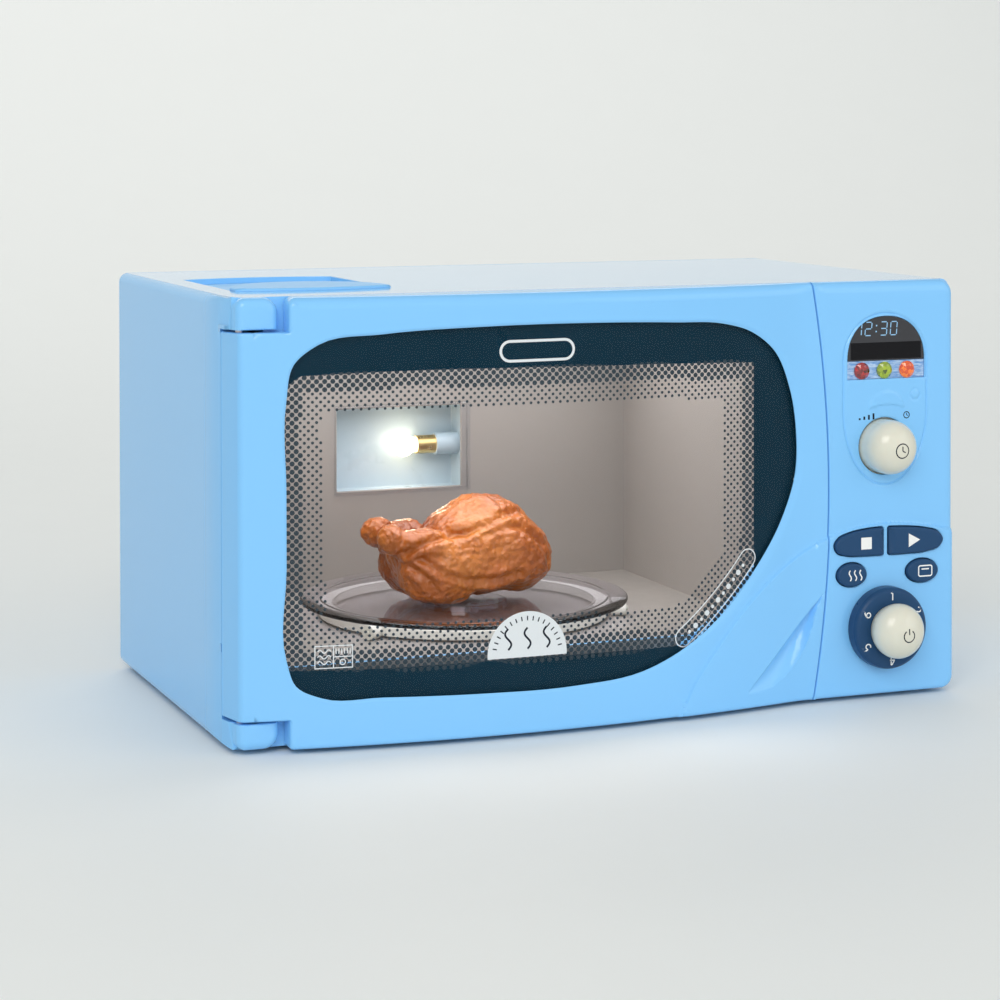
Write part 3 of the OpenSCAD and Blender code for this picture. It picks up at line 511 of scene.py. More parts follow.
M["pane"] = clear("clear_pane", (0.955, 0.965, 0.975, 1), 0.025, 1.14)
M["lens"] = clear("clear_lens", (0.97, 0.975, 0.985, 1), 0.05, 1.5)
M["plate"] = thick_clear("clear_plate", (0.90, 0.89, 0.96, 1), 0.02, 1.42)
M["bulb"] = glow("bulb_glow", (1.0, 0.82, 0.58, 1), 7)


def foil():
    m, nt, b = nodes_of("blue_foil")
    N, L = nt.nodes, nt.links
    tc = N.new("ShaderNodeTexCoord")
    mp = N.new("ShaderNodeMapping")
    mp.inputs["Rotation"].default_value = (0, math.radians(-8), 0)
    mp.inputs["Scale"].default_value = (330, 330, 1500)
    L.new(tc.outputs["Object"], mp.inputs["Vector"])
    nz = N.new("ShaderNodeTexNoise")
    nz.inputs["Scale"].default_value = 1.0
    nz.inputs["Detail"].default_value = 6
    nz.inputs["Distortion"].default_value = 0.6
    L.new(mp.outputs["Vector"], nz.inputs["Vector"])
    cr = N.new("ShaderNodeValToRGB")
    cr.color_ramp.elements[0].position = 0.35
    cr.color_ramp.elements[0].color = lin(112, 160, 220)
    cr.color_ramp.elements[1].position = 0.68
    cr.color_ramp.elements[1].color = lin(196, 222, 250)
    L.new(nz.outputs["Fac"], cr.inputs[0])
    L.new(cr.outputs[0], b.inputs["Base Color"])
    b.inputs["Metallic"].default_value = 0.6
    b.inputs["Roughness"].default_value = 0.32
    bp = N.new("ShaderNodeBump")
    bp.inputs["Strength"].default_value = 0.4
    bp.inputs["Distance"].default_value = 0.0003
    L.new(nz.outputs["Fac"], bp.inputs["Height"])
    L.new(bp.outputs["Normal"], b.inputs["Normal"])
    return m


def gem_mat(name, col, dark):
    m, nt, b = nodes_of(name)
    N, L = nt.nodes, nt.links
    tc = N.new("ShaderNodeTexCoord")
    vo = N.new("ShaderNodeTexVoronoi")
    vo.inputs["Scale"].default_value = 700
    L.new(tc.outputs["Object"], vo.inputs["Vector"])
    mx = N.new("ShaderNodeMix")
    mx.data_type = "RGBA"
    mx.inputs[6].default_value = dark
    mx.inputs[7].default_value = col
    sep = N.new("ShaderNodeSeparateColor")
    L.new(vo.outputs["Color"], sep.inputs[0])
    L.new(sep.outputs[0], mx.inputs[0])
    L.new(mx.outputs[2], b.inputs["Base Color"])
    L.new(mx.outputs[2], b.inputs["Emission Color"])
    # slight emission is a painted glow on the gem, which no lamp lights
    b.inputs["Emission Strength"].default_value = 0.12
    b.inputs["Roughness"].default_value = 0.06
    b.inputs["Coat Weight"].default_value = 0.8
    b.inputs["Specular IOR Level"].default_value = 0.9
    return m


def roast():
    m, nt, b = nodes_of("roast_skin")
    N, L = nt.nodes, nt.links
    tc = N.new("ShaderNodeTexCoord")
    big = N.new("ShaderNodeTexNoise")
    big.inputs["Scale"].default_value = 45
    big.inputs["Detail"].default_value = 5
    L.new(tc.outputs["Object"], big.inputs["Vector"])
    cr = N.new("ShaderNodeValToRGB")
    e = cr.color_ramp.elements
    e[0].position, e[0].color = 0.30, lin(146, 70, 18)
    e[1].position, e[1].color = 0.72, lin(206, 122, 44)
    n = e.new(0.5)
    n.color = lin(182, 96, 26)
    L.new(big.outputs["Fac"], cr.inputs[0])
    L.new(cr.outputs[0], b.inputs["Base Color"])
    vo = N.new("ShaderNodeTexVoronoi")
    vo.inputs["Scale"].default_value = 420
    vo.feature = "SMOOTH_F1"
    L.new(tc.outputs["Object"], vo.inputs["Vector"])
    wr = N.new("ShaderNodeTexNoise")
    wr.inputs["Scale"].default_value = 260
    wr.inputs["Detail"].default_value = 3
    wr.inputs["Distortion"].default_value = 0.3
    L.new(tc.outputs["Object"], wr.inputs["Vector"])
    ad = N.new("ShaderNodeMath")
    ad.operation = "SUBTRACT"
    L.new(vo.outputs["Distance"], ad.inputs[0])
    L.new(wr.outputs["Fac"], ad.inputs[1])
    bp = N.new("ShaderNodeBump")
    bp.invert = True
    bp.inputs["Strength"].default_value = 1.0
    bp.inputs["Distance"].default_value = 0.0011
    L.new(ad.outputs[0], bp.inputs["Height"])
    L.new(bp.outputs["Normal"], b.inputs["Normal"])
    b.inputs["Roughness"].default_value = 0.30
    b.inputs["Subsurface Weight"].default_value = 0.12
    b.inputs["Subsurface Radius"].default_value = (1.0, 0.4, 0.15)
    b.inputs["Subsurface Scale"].default_value = 0.003
    b.inputs["Coat Weight"].default_value = 0.3
    b.inputs["Coat Roughness"].default_value = 0.14
    return m


M["foil"] = foil()
M["red"] = gem_mat("gem_red", lin(176, 6, 16), lin(60, 0, 4))
M["green"] = gem_mat("gem_green", lin(160, 186, 14), lin(62, 84, 0))
M["amber"] = gem_mat("gem_amber", lin(255, 128, 14), lin(200, 54, 0))
M["roast"] = roast()


def wires_mat():
    m = plastic("wire_sleeve", lin(150, 30, 28), 0.4, 0.05, 0.8, 0.05)
    return m


M["wire"] = wires_mat()

NODE_MAT = {"rear_housing": "sky", "top_cover": "sky_top", "base_plate": "sky", "feet": "rubber",
            "base_screws": "steel", "housing_screws": "steel", "front_frame": "sky", "control_panel": "sky",
            "cavity_liner": "liner", "lamp_housing": "lampbox", "lamp_lens": "lens", "lamp_bulb": "bulb",
            "bulb_holder": "brass", "battery_box": "sky_in", "battery_contacts": "steel", "battery_cells": "cell",
            "display_lens": "smoke", "display_card": "foil", "gem_red": "red", "gem_green": "green",
            "gem_amber": "amber", "control_pcb": "board", "keypad": "rubber", "timer_switch": "black",
            "power_switch": "black", "speaker": "black", "motor": "steel", "gearbox_frame": "white",
            "gear_axle": "steel", "latch_catch": "steel", "hinge_pin_upper": "steel", "hinge_pin_lower": "steel",
            "wire_loom": "wire", "door_frame": "sky", "door_window": "pane", "door_inner_panel": "sky_in",
            "door_latch": "white", "door_screws": "steel", "battery_cover": "sky_in", "cover_screw": "steel",
            "output_gear": "white", "drive_coupler": "white", "turntable_plate": "plate", "play_chicken": "roast",
            "compound_gear": "white", "motor_pinion": "brass", "roller_ring": "white", "roller_wheel_a": "white",
            "roller_wheel_b": "white", "roller_wheel_c": "white", "timer_knob": "ivory", "power_dial": "navy",
            "power_cap": "ivory", "stop_button": "navy", "start_button": "navy", "grill_button": "navy",
            "oven_button": "navy"}
for n, o in NODES.items():
    o.data.materials.clear()
    o.data.materials.append(M[NODE_MAT[n]])

BODY = {n: b for b, ns in frame["record"]["behaviour"]["bodies"].items() for n in ns}
SLOT = {s["node"]: s["material_slot"] for s in frame["record"]["subparts"]}


def stand_for(o, *nodes):
    """o rides with the body of these nodes and shows instead of them"""
    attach(o, BODY[nodes[0]])
    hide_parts(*nodes)
    return o


def extra(o, body, slot):
    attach(o, body)
    return o


# ---------------------------------------------------------------- CAD shells with softened edges
SHIFT = Vector((0, DY, 0))


def soften(node, rules, angle=30, name=None, mat=None):
    """copy of a CAD node whose edges are rounded: rules are (test(a, b), width mm, segments), first match wins"""
    src = NODES[node]
    bm = bmesh.new()
    bm.from_mesh(src.data)
    bmesh.ops.remove_doubles(bm, verts=bm.verts, dist=2e-6)
    bmesh.ops.dissolve_limit(bm, angle_limit=math.radians(0.4), verts=bm.verts, edges=bm.edges, delimit=set())
    for test, width, seg in rules:
        es = []
        for e in bm.edges:
            if len(e.link_faces) != 2 or e.tag:
                continue
            if e.calc_face_angle(0) < math.radians(angle):
                continue
            a, b = e.verts[0].co * 1000 - SHIFT, e.verts[1].co * 1000 - SHIFT
            if test(a, b):
                es.append(e)
        if es:
            bmesh.ops.bevel(bm, geom=es, offset=width * MM, offset_type="OFFSET", segments=seg, profile=0.5,
                            affect="EDGES", clamp_overlap=True, loop_slide=True)
    me = bpy.data.meshes.new(name or node + "_soft")
    bm.to_mesh(me)
    bm.free()
    me.materials.append(mat or M[NODE_MAT[node]])
    me.shade_smooth()
    me.set_sharp_from_angle(angle=math.radians(32))
    o = bpy.data.objects.new(name or node + "_soft", me)
    scene.collection.objects.link(o)
    w = o.modifiers.new("normals", "WEIGHTED_NORMAL")
    w.keep_sharp = True
    return stand_for(o, node)


both = lambda f: (lambda a, b: f(a) and f(b))
anything = lambda a, b: True
soften("rear_housing", [(both(lambda p: p.y > 95.3), 1.6, 3), (both(lambda p: abs(p.y + 49.8) < 0.05), 0.35, 2), (anything, 0.3, 1)])
soften("top_cover", [(both(lambda p: p.z > ZT - 0.1), 0.5, 3)])
soften("battery_cover", [(both(lambda p: p.z > ZT + 1.1), 1.0, 4), (both(lambda p: p.z > ZT - 2.6), 0.3, 2)])
soften("base_plate", [(both(lambda p: p.z < 2.1), 0.4, 2)])
front = soften("front_frame", [(both(lambda p: abs(p.y + 49.8) < 0.05), 0.35, 2)])


def cut_blocks(o):
    """takes the hinge blocks off the front frame; rounded ones take their place"""
    bm = bmesh.new()
    bm.from_mesh(o.data)
    bmesh.ops.bisect_plane(bm, geom=bm.verts[:] + bm.edges[:] + bm.faces[:], dist=1e-7,
                           plane_co=((0, (-78.31 + DY) * MM, 0)), plane_no=(0, -1, 0), clear_outer=True)
    bmesh.ops.holes_fill(bm, edges=[e for e in bm.edges if e.is_boundary])
    bmesh.ops.recalc_face_normals(bm, faces=bm.faces)
    bm.to_mesh(o.data)
    bm.free()


cut_blocks(front)
soften("cavity_liner", [(both(lambda p: p.y > 70 and p.z > 60 and p.z < 130 and -70 < p.x < 0), 0.5, 2),
                        (both(lambda p: p.y < -74), 0.3, 1)])
soften("lamp_lens", [(anything, 0.5, 3)])
soften("door_inner_panel", [(both(lambda p: p.y > -78.9), 0.5, 2)])
soften("latch_catch", [(anything, 0.2, 2)])
soften("door_latch", [(anything, 0.4, 2)])
soften("lamp_housing", [(both(lambda p: p.y > 91), 1.0, 3)])

def hinge_block(name, z0, z1, flip):
    """block in front of the frame: round top right corner, round front edges, sharp lower edge"""
    r = 3.3
    left = [(-156.3, z) for z in np.arange(z0, z1 - 4, 1.0)]
    crown = [(-152.3 + 4 * math.cos(a), z1 - 4 + 4 * math.sin(a)) for a in np.linspace(math.pi, math.pi / 2, 10)]
    crown += [(x, z1) for x in np.arange(-151.3, -145.8, 1.0)]
    crown += [(-145.3 + 6 * math.cos(a), z1 - 6 + 6 * math.sin(a)) for a in np.linspace(math.pi / 2, 0, 14)]
    down = [(-139.3, z) for z in np.arange(z1 - 7, z0 - 0.01, -1.0)]
    if down[-1][1] > z0 + 0.05:
        down.append((-139.3, z0))
    contour = np.array(left + crown + down)
    foot = np.array([(x, z0) for x in np.arange(-140.3, -155.9, -1.0)])
    outline = np.vstack([contour, foot])
    ex = np.vstack([ring_points(contour, [-o for o in (0.08, 0.25, 0.5, 0.85, 1.3, 1.9, 2.6, 3.3, 3.9)], closed=False),
                    [(x, z0 + o) for x in np.arange(-155.5, -140, 1.0) for o in (0.1, 0.25, 0.45)],
                    field((-156, z0), (-139.5, z1), 1.5)])
    d, _ = dist(ex, outline)
    ex = ex[inside(ex, outline) & (d > 0.06)]
    key = np.round(ex / 0.2).astype(int)
    _, first = np.unique(key, axis=0, return_index=True)
    P, T, ids = triangulate(outline, [], ex[np.sort(first)])
    dc, _ = dist(P, contour, closed=False)
    f = np.maximum(fillet(dc, r), fillet(P[:, 1] - z0, 0.45))
    back = -78.32
    turn = (lambda z: z0 + z1 - z) if flip else (lambda z: z)
    V = [(q[0], -83.38 + g, turn(q[1])) for q, g in zip(P, f)]
    F = [list(t) for t in T]
    rim = ids[0]
    m = len(rim)
    prev = rim
    for t in (0.5, 1.0):
        cur = list(range(len(V), len(V) + m))
        for i in rim:
            x, y, z = V[i]
            w = min(1.0, max(0.0, (-152.3 - x) / 4))
            yy = y + (back - y) * t
            V.append((x + w * (side_x(yy) + 156.3), yy, z))
        for i in range(m):
            k = (i + 1) % m
            F.append([prev[i], prev[k], cur[k], cur[i]])
        prev = cur
    F.append(prev[::-1])
    o = mesh_obj(name, V, F, M["sky"], angle=42)
    return extra(o, "oven", SLOT["front_frame"])


hinge_block("hinge_block_top", 164.0, ZT, False)
hinge_block("hinge_block_low", ZB, ZB + 10.3, True)
rim_v, rim_f = [], []
for x0, x1, z0, z1 in ((-139, 81.4, 14, 32), (-139, 81.4, 152, 162.4), (76.7, 81.4, 32, 152)):
    b = len(rim_v)
    rim_v += [(x0, -78.36, z0), (x1, -78.36, z0), (x1, -78.36, z1), (x0, -78.36, z1)]
    rim_f.append([b, b + 1, b + 2, b + 3])
extra(mesh_obj("cavity_rim", rim_v, rim_f, M["liner"]), "oven", SLOT["cavity_liner"])

# ---------------------------------------------------------------- door front
SEAM_D = SEAM_R - GAP / 2


def seam_x(z, r):
    return SEAM_C[0] + np.sqrt(r * r - (z - SEAM_C[1]) ** 2)


win = spline(WIN, 6) + np.array([0, ZB])
sweep_line = spline(SWEEP, 6, closed=False) + np.array([0, ZB])
sweep_area = np.vstack([sweep_line, [[170, 69.4], [170, -5], [26, -5]]])


def raised(P):
    d, _ = dist(P, sweep_line, closed=False)
    s = np.where(inside(P, sweep_area), d, -d)
    return smooth(-0.15, 0.85, s)


# finger scoop: a leaf between two tips
TIP0, TIP1 = np.array([58.6, 8.5]), np.array([97.3, 46.9])
AXIS = (TIP1 - TIP0) / np.linalg.norm(TIP1 - TIP0)
NORM = np.array([AXIS[1], -AXIS[0]])      # towards the lower right
LEN = np.linalg.norm(TIP1 - TIP0)


def leaf_w(s):
    return np.interp(s, [0, .093, .185, .296, .407, .556, .648, .744, .837, .944, 1],
                     [0, 4.5, 8, 9.9, 10.5, 9.7, 8.2, 5.7, 2.6, 0.7, 0])


def leaf_d(s):
    return np.interp(s, [0, .13, .278, .426, .574, .685, .796, .907, 1], [0, 1.0, 2.3, 3.4, 4.2, 4.0, 2.8, 1.0, 0])


def scoop(P):
    q = P - TIP0
    s = (q @ AXIS) / LEN
    w = q @ NORM
    W = np.maximum(leaf_w(np.clip(s, 0, 1)), 1e-3)
    u = w / W
    ok = (s > 0) & (s < 1) & (u > 0) & (u < 1)
    g = np.sin(np.pi * np.clip(u, 0, 1) ** 0.80) ** 0.85
    return np.where(ok, leaf_d(np.clip(s, 0, 1)) * g, 0)


def rim_w(P):
    return 0.9 + 2.6 * smooth(30, 72, P[:, 0]) * (1 - 0.6 * smooth(140, 158, P[:, 1]))


def door_front(P, d_out, r_out):
    y = door_y(P[:, 0])
    y = y - 1.2 * raised(P) * smooth(18, 26, P[:, 0])
    y = y + scoop(P)
    dw, _ = dist(P, win)
    w = rim_w(P)
    y = y + 0.62 * np.clip(1 - dw / w, 0, 1) ** 1.25
    k = np.minimum(1.0, (YD - y - 0.9) / np.maximum(r_out, 1e-6))
    return y + fillet(d_out, r_out) * k


def outline_door():
    """outer edge of the door from the notch at the top left, clockwise seen from the front; with fillet radii"""
    pts, rad = [], []

    def add(p, r):
        pts.append(p)
        rad.append(r)
    for x in np.arange(-150, -138.2, 2):
        add((x, 162.9), 0.9)
    c = (-136.3 - 0.0, 162.9)
    add(c, 0.9)
    for z in np.arange(164.5, ZT - 3.4, 1.5):
        add((-136.3, z), 1.2)
    for a in np.linspace(180, 90, 6):
        add((-133.3 + 3 * math.cos(math.radians(a)), ZT - 3 + 3 * math.sin(math.radians(a))), 1.6 + 3 * (180 - a) / 90)
    xr = seam_x(ZT, SEAM_D)
    for x in np.linspace(-132, xr - 1.5, 100):
        add((x, ZT), 4.6 - 2.6 * float(smooth(xr - 8, xr, x)))
    add((xr, ZT), 1.6)
    for z in np.linspace(ZT - 1.5, ZB + 1.5, 90):
        add((seam_x(z, SEAM_D), z), 0.35)
    xr = seam_x(ZB, SEAM_D)
    add((xr, ZB), 0.8)
    for x in np.linspace(xr - 1.5, -132, 100):
        add((x, ZB), 1.6)
    for a in np.linspace(270, 180, 6):
        add((-134.8 + 1.5 * math.cos(math.radians(a)), ZB + 1.5 + 1.5 * math.sin(math.radians(a))), 1.6)
    for z in np.arange(4.5, 12.4, 1.5):
        add((-136.3, z), 1.2)
    add((-136.3, 13.4), 0.9)
    for x in np.arange(-138, -149, -2):
        add((x, 13.4), 0.9)
    add((-150, 13.4), 0.9)
    return np.array(pts), np.array(rad)


out_pts, out_rad = outline_door()
left_edge = np.array([(-150, z) for z in np.arange(16, 162, 3.0)])
loop = np.vstack([out_pts, left_edge])
open_n = len(out_pts)


def near_outline(P):
    d, w = dist(P, out_pts, closed=False)
    i = np.clip(w.astype(int), 0, open_n - 2)
    t = w - i
    return d, out_rad[i] * (1 - t) + out_rad[i + 1] * t


def build_door():
    rings = []
    inner = -1  # the outline runs clockwise, so the inside lies to the right of travel
    for o in (0.12, 0.3, 0.55, 0.85, 1.2, 1.6, 2.1, 2.8, 3.6, 4.5, 5.4):
        q = ring_points(out_pts, [inner * o], closed=False)
        rings.append(q)
    rings.append(ring_points(win, [0.15, 0.4, 0.8, 1.3, 1.9, 2.6, 3.3, 3.7, 4.4]))
    sp = sweep_line[(sweep_line[:, 0] < 99.5)]
    rings.append(ring_points(sp, [0.3, 0.7, 1.1, 1.5, 2.2], closed=False, both=True))
    rings.append(sp)
    s = np.linspace(0.0, 1.0, 56)
    leaf = []
    for a in s:
        for u in (-0.06, 0, 0.03, 0.08, 0.15, 0.25, 0.36, 0.48, 0.6, 0.72, 0.82, 0.9, 0.96, 1.0, 1.06):
            leaf.append(TIP0 + AXIS * LEN * a + NORM * max(float(leaf_w(a)), 0.05) * u)
    leaf = np.array(leaf)
    rings.append(leaf)
    grid = field((-150, ZB), (101, ZT), 2.6)
    ex = np.vstack(rings)
    q = np.vstack([ex, grid])
    d1, _ = dist(q, loop)
    d2, _ = dist(q, win)
    keep = inside(q, loop) & ~inside(q, win) & (d1 > 0.08) & (d2 > 0.1)
    isg = np.arange(len(q)) >= len(ex)
    dn, _ = dist(q, sp, closed=False)
    tree = q[:len(ex)]
    far = np.ones(len(q), bool)
    far[isg] = (d1[isg] > 6.2) & (d2[isg] > 5.4) & (dn[isg] > 3.2)
    t = (q - TIP0) @ AXIS / LEN
    w = (q - TIP0) @ NORM
    inleaf = (t > -0.03) & (t < 1.03) & (w > -1.2) & (w < leaf_w(np.clip(t, 0, 1)) + 1.4)
    far[isg] &= ~inleaf[isg]
    q = q[keep & far]
    # thin out points that crowd each other
    key = np.round(q / 0.22).astype(int)
    _, first = np.unique(key, axis=0, return_index=True)
    q = q[np.sort(first)]
    P, T, ids = triangulate(loop, [win], q)
    d, r = near_outline(P)
    Y = door_front(P, d, r)
    V = [(p[0], y, p[1]) for p, y in zip(P, Y)]
    F = [list(t) for t in T]

    def wall(ring, steps, closed=True):
        prev = ring
        for fn in steps:
            cur = []
            for i in ring:
                cur.append(len(V))
                V.append(fn(V[i]))
            m = len(ring)
            for a in range(m if closed else m - 1):
                b = (a + 1) % m
                F.append([prev[a], prev[b], cur[b], cur[a]])
            prev = cur
        return prev

    def back_y(x):
        if x < -144.8:
            return -77 + math.sqrt(max(0.0, 8.9 ** 2 - (x + 153.5) ** 2))
        return YD
    edge = ids[0][:open_n]
    wall(edge, [lambda v: (v[0], (v[1] + back_y(v[0])) / 2, v[2]), lambda v: (v[0], back_y(v[0]), v[2])], closed=False)
    # window: inner wall of the rim down to the pane
    wall(ids[1], [lambda v: (v[0], float(bow(v[0], 1.0)) + 0.02, v[2])])
    # back of the frame: flush border, then the pocket of the inner panel
    n0 = len(V)
    B = np.array([P[i] for i in edge] + [P[i] for i in ids[0][open_n:]])
    pocket = panel_outline(0.15)
    Pb, Tb, idb = triangulate(B, [pocket], field((-150, ZB), (101, ZT), 9.0))
    bars = [(p[0], back_y(p[0]) if p[0] < -144.8 else YD, p[1]) for p in Pb]
    V.extend(bars)
    F.extend([[n0 + c for c in t[::-1]] for t in Tb])
    ring = [n0 + i for i in idb[1]]
    low = wall(ring, [lambda v: (v[0], YD - 2.0, v[2])])
    n1 = len(V)
    wb = grow(win, 2.5)
    Pc, Tc, idc = triangulate(pocket, [wb], field((-150, ZB), (101, ZT), 9.0))
    V.extend([(p[0], YD - 2.0, p[1]) for p in Pc])
    F.extend([[n1 + c for c in t[::-1]] for t in Tc])
    wall([n1 + i for i in idc[1]], [lambda v: (v[0], float(bow(v[0], 1.0)) + 0.05, v[2])])
    return V, F


def panel_outline(g):
    """outline of the inner panel and its pocket, as in the CAD"""
    z0, z1 = 6 - g, 174 + g
    def edge(z):
        return float(SEAM_C[0] + math.sqrt((SEAM_R - 4 + g) ** 2 - (z - SEAM_C[1]) ** 2))
    pts = [(-143.5 - g, 16 - g), (-143.5 - g, 160 + g), (-133.5 - g, 160 + g), (-133.5 - g, z1)]
    pts += [(x, z1) for x in np.arange(-120, edge(z1) - 3, 10)]
    pts += [(edge(z), z) for z in np.linspace(z1, 66 - g, 30)]
    pts += [(80 + g, 66 - g), (70 + g, 53 - g), (56 + g, 38 - g), (43 + g, 26 - g), (43 + g, z0)]
    pts += [(x, z0) for x in np.arange(30, -130, -10)]
    pts += [(-133.5 - g, z0), (-133.5 - g, 16 - g)]
    return densify(np.array(pts), 6)


V, F = build_door()


def column(V, F):
    """left edge of the door: bow, rounded corner, side and hinge barrel, between the two notches"""
    # rounded corner that runs into both the bowed front and the leaning side wall
    r = 3.0
    cx, cy = -153.0, -81.0
    for _ in range(60):
        nf = np.array([(cx - XC) / BOW_R, -1.0])
        nf /= np.linalg.norm(nf)
        cy = float(door_y(cx + r * nf[0])) - r * nf[1]
        ns = np.array([-1.0, (cy - 0.8 + 52.0) / 110.0])
        ns /= np.linalg.norm(ns)
        cx = side_x(cy + r * ns[1]) - r * ns[0]
    prof = [(-150.0, float(door_y(-150.0)))]
    for x in np.linspace(-151.0, cx + r * nf[0] + 0.3, 4):
        prof.append((x, float(door_y(x))))
    for a in np.linspace(math.atan2(nf[1], nf[0]), math.atan2(ns[1], ns[0]), 12):
        prof.append((cx + r * math.cos(a), cy + r * math.sin(a)))
    for y in np.linspace(cy + r * ns[1] + 0.5, -70.2, 12):
        prof.append((side_x(y) + 0.02, y))
    a0 = math.degrees(math.atan2(-70.0 + 77, -158.5 + 153.5))
    for a in np.linspace(a0, -11.6, 22):
        prof.append((-153.5 + 8.9 * math.cos(math.radians(a)), -77 + 8.9 * math.sin(math.radians(a))))
    prof = np.array(prof)
    d = np.gradient(prof, axis=0)
    d /= np.linalg.norm(d, axis=1)[:, None]
    nrm = np.c_[d[:, 1], -d[:, 0]]
    nrm *= np.sign((nrm * (prof - np.array([-151.5, -77.5]))).sum(1))[:, None]
    z0, z1, r = 13.4, 162.9, 0.9
    nrm[0] = (0, -1)
    zs = [0, 0.12, 0.3, 0.55, 0.9, 4]
    rows = [z0 + z for z in zs] + list(np.arange(z0 + 14, z1 - 10, 12)) + [z1 - z for z in zs[::-1]]
    base = len(V)
    m = len(prof)
    for z in rows:
        dd = min(z - z0, z1 - z)
        f = float(fillet(np.array([dd]), np.array([r]))[0])
        for p, n in zip(prof, nrm):
            V.append((p[0] - n[0] * f, p[1] - n[1] * f, z))
    for j in range(len(rows) - 1):
        for i in range(m - 1):
            a = base + j * m + i
            F.append([a, a + 1, a + 1 + m, a + m])
    for j in (0, len(rows) - 1):
        F.append([base + j * m + i for i in range(m)])


column(V, F)
door = mesh_obj("door_shell", V, F, M["sky"], angle=38)
stand_for(door, "door_frame")

# ---------------------------------------------------------------- window pane and its print
soften("door_window", [])


def on_pane(name, pts2d, faces, depth, mat, slot="printed_window", thick=0.0):
    """flat print that follows the curve of the pane; depth is counted from the door's front curve"""
    P = np.asarray(pts2d, float)
    V = np.c_[P[:, 0], bow(P[:, 0], depth), P[:, 1]]
    o = mesh_obj(name, V, faces, mat, smooth_it=True)
    return extra(o, "door", slot)


win_big = grow(win, 2.1)
# see-through part of the print: everything outside it is the dark border
LIM = np.array([(-150, 142.4), (-136.3, 142.4), (-134, 144.3), (-131, 145.9), (-93, 146.9), (-52, 146.8), (0, 146),
                (30, 145.4), (63.9, 144.3), (63.9, 30.6), (15.5, 30.7), (-57, 31.5), (-101, 31.3), (-124.7, 31.8),
                (-150, 32.6)], float)
lim_d = densify(LIM, 2.0)
g = field((-140, 15), (90, 168), 5.0)
keep = inside(g, win_big)
Pq, Tq, _ = triangulate(win_big, [LIM], g[keep])
on_pane("window_border", Pq, [list(t) for t in Tq], 2.58, M["teal"])


def strip(path, w, closed=False):
    """flat line of width w along a path"""
    p = np.asarray(path, float)
    if closed:
        d = np.roll(p, -1, 0) - np.roll(p, 1, 0)
    else:
        d = np.gradient(p, axis=0)
    d /= np.linalg.norm(d, axis=1)[:, None] + 1e-12
    n = np.c_[-d[:, 1], d[:, 0]] * w / 2
    V = np.vstack([p + n, p - n])
    m = len(p)
    F = []
    for i in range(m if closed else m - 1):
        j = (i + 1) % m
        F.append([i, j, m + j, m + i])
    return V, F


def disc(c, r, n=14):
    a = np.arange(n) * 2 * np.pi / n
    return np.c_[c[0] + r * np.cos(a), c[1] + r * np.sin(a)], [list(range(n))]


def merge(parts):
    V, F, b = [], [], 0
    for v, f in parts:
        V.append(np.asarray(v, float))
        F += [[i + b for i in g] for g in f]
        b += len(v)
    return np.vstack(V), F


dots = []
lat = []
for j in range(-2, 90):
    for i in range(-2, 150):
        if (i + j) % 2 == 0:
            lat.append((-137.9 + i * 1.575, 30.2 + j * 1.575))
lat = np.array(lat)
lat = lat[inside(lat, win_big)]
dl, _ = dist(lat, LIM)
ins = inside(lat, LIM)
dw, _ = dist(lat, win)
inw = inside(lat, win)
dd = np.where(ins, np.minimum(dl, np.where(inw, dw, 0)), -dl)
bottom = 1.15 - 0.15 * smooth(60, 75, lat[:, 1])
for p, d, b in zip(lat, dd, bottom):
    if d > -1.3 and d < 6.4 * b:
        dots.append(disc(p, 1.0, 12))
    elif 0 < d < 14.4 * b:
        dots.append(disc(p, 0.6, 10))
Vd, Fd = merge(dots)
on_pane("window_dots", Vd, Fd, 2.66, M["ink"])


def stadium(a, b, r, n=14, mid=None):
    a, b = np.array(a, float), np.array(b, float)
    m = (a + b) / 2 if mid is None else np.array(mid, float)
    t = np.linspace(0, 1, 13)[:, None]
    c = 2 * m - (a + b) / 2
    mids = (1 - t) ** 2 * a + 2 * t * (1 - t) * c + t * t * b
    d = np.gradient(mids, axis=0)
    d /= np.linalg.norm(d, axis=1)[:, None]
    nn = np.c_[-d[:, 1], d[:, 0]]
    L, R = mids + nn * r, mids - nn * r
    out = list(L)
    e = math.atan2(nn[-1][1], nn[-1][0])
    out += [mids[-1] + r * np.array([math.cos(e - k), math.sin(e - k)]) for k in np.linspace(0, math.pi, n)[1:-1]]
    out += list(R[::-1])
    e = math.atan2(-nn[0][1], -nn[0][0])
    out += [mids[0] + r * np.array([math.cos(e - k), math.sin(e - k)]) for k in np.linspace(0, math.pi, n)[1:-1]]
    return np.array(out), mids


def wave(x0, x1, z, amp, periods=1.5, n=24):
    x = np.linspace(x0, x1, n)
    return np.c_[x, z + amp * np.sin((x - x0) / (x1 - x0) * periods * 2 * np.pi)]


# badge: white disc cut off at its foot, with radial ticks and heat waves
bc, br = np.array([-40.3, 33.25]), 16.85
arc = [bc + br * np.array([math.cos(a), math.sin(a)]) for a in np.linspace(math.pi + 0.075, -0.075, 60)]
badge = densify(np.array(arc), 2.5)
inner_pts = field((-60, 30), (-20, 52), 3.0)
inner_pts = inner_pts[inside(inner_pts, badge)]
db, _ = dist(inner_pts, badge)
Pb, Tb, _ = triangulate(badge, [], inner_pts[db > 0.6])
on_pane("window_badge", Pb, [list(t) for t in Tb], 2.535, M["paint"])
parts = []
for a in np.linspace(math.pi * 0.94, math.pi * 0.06, 17):
    u = np.array([math.cos(a), math.sin(a)])
    parts.append(strip([bc + u * 13.2, bc + u * 15.0], 0.5))
for x in (-48.5, -40.3, -32.1):
    zz = np.linspace(35.2, 43.6, 26)
    parts.append(strip(np.c_[x + 1.3 * np.sin((zz - 35.2) / 8.4 * 2 * np.pi), zz], 0.8))
Vp, Fp = merge(parts)
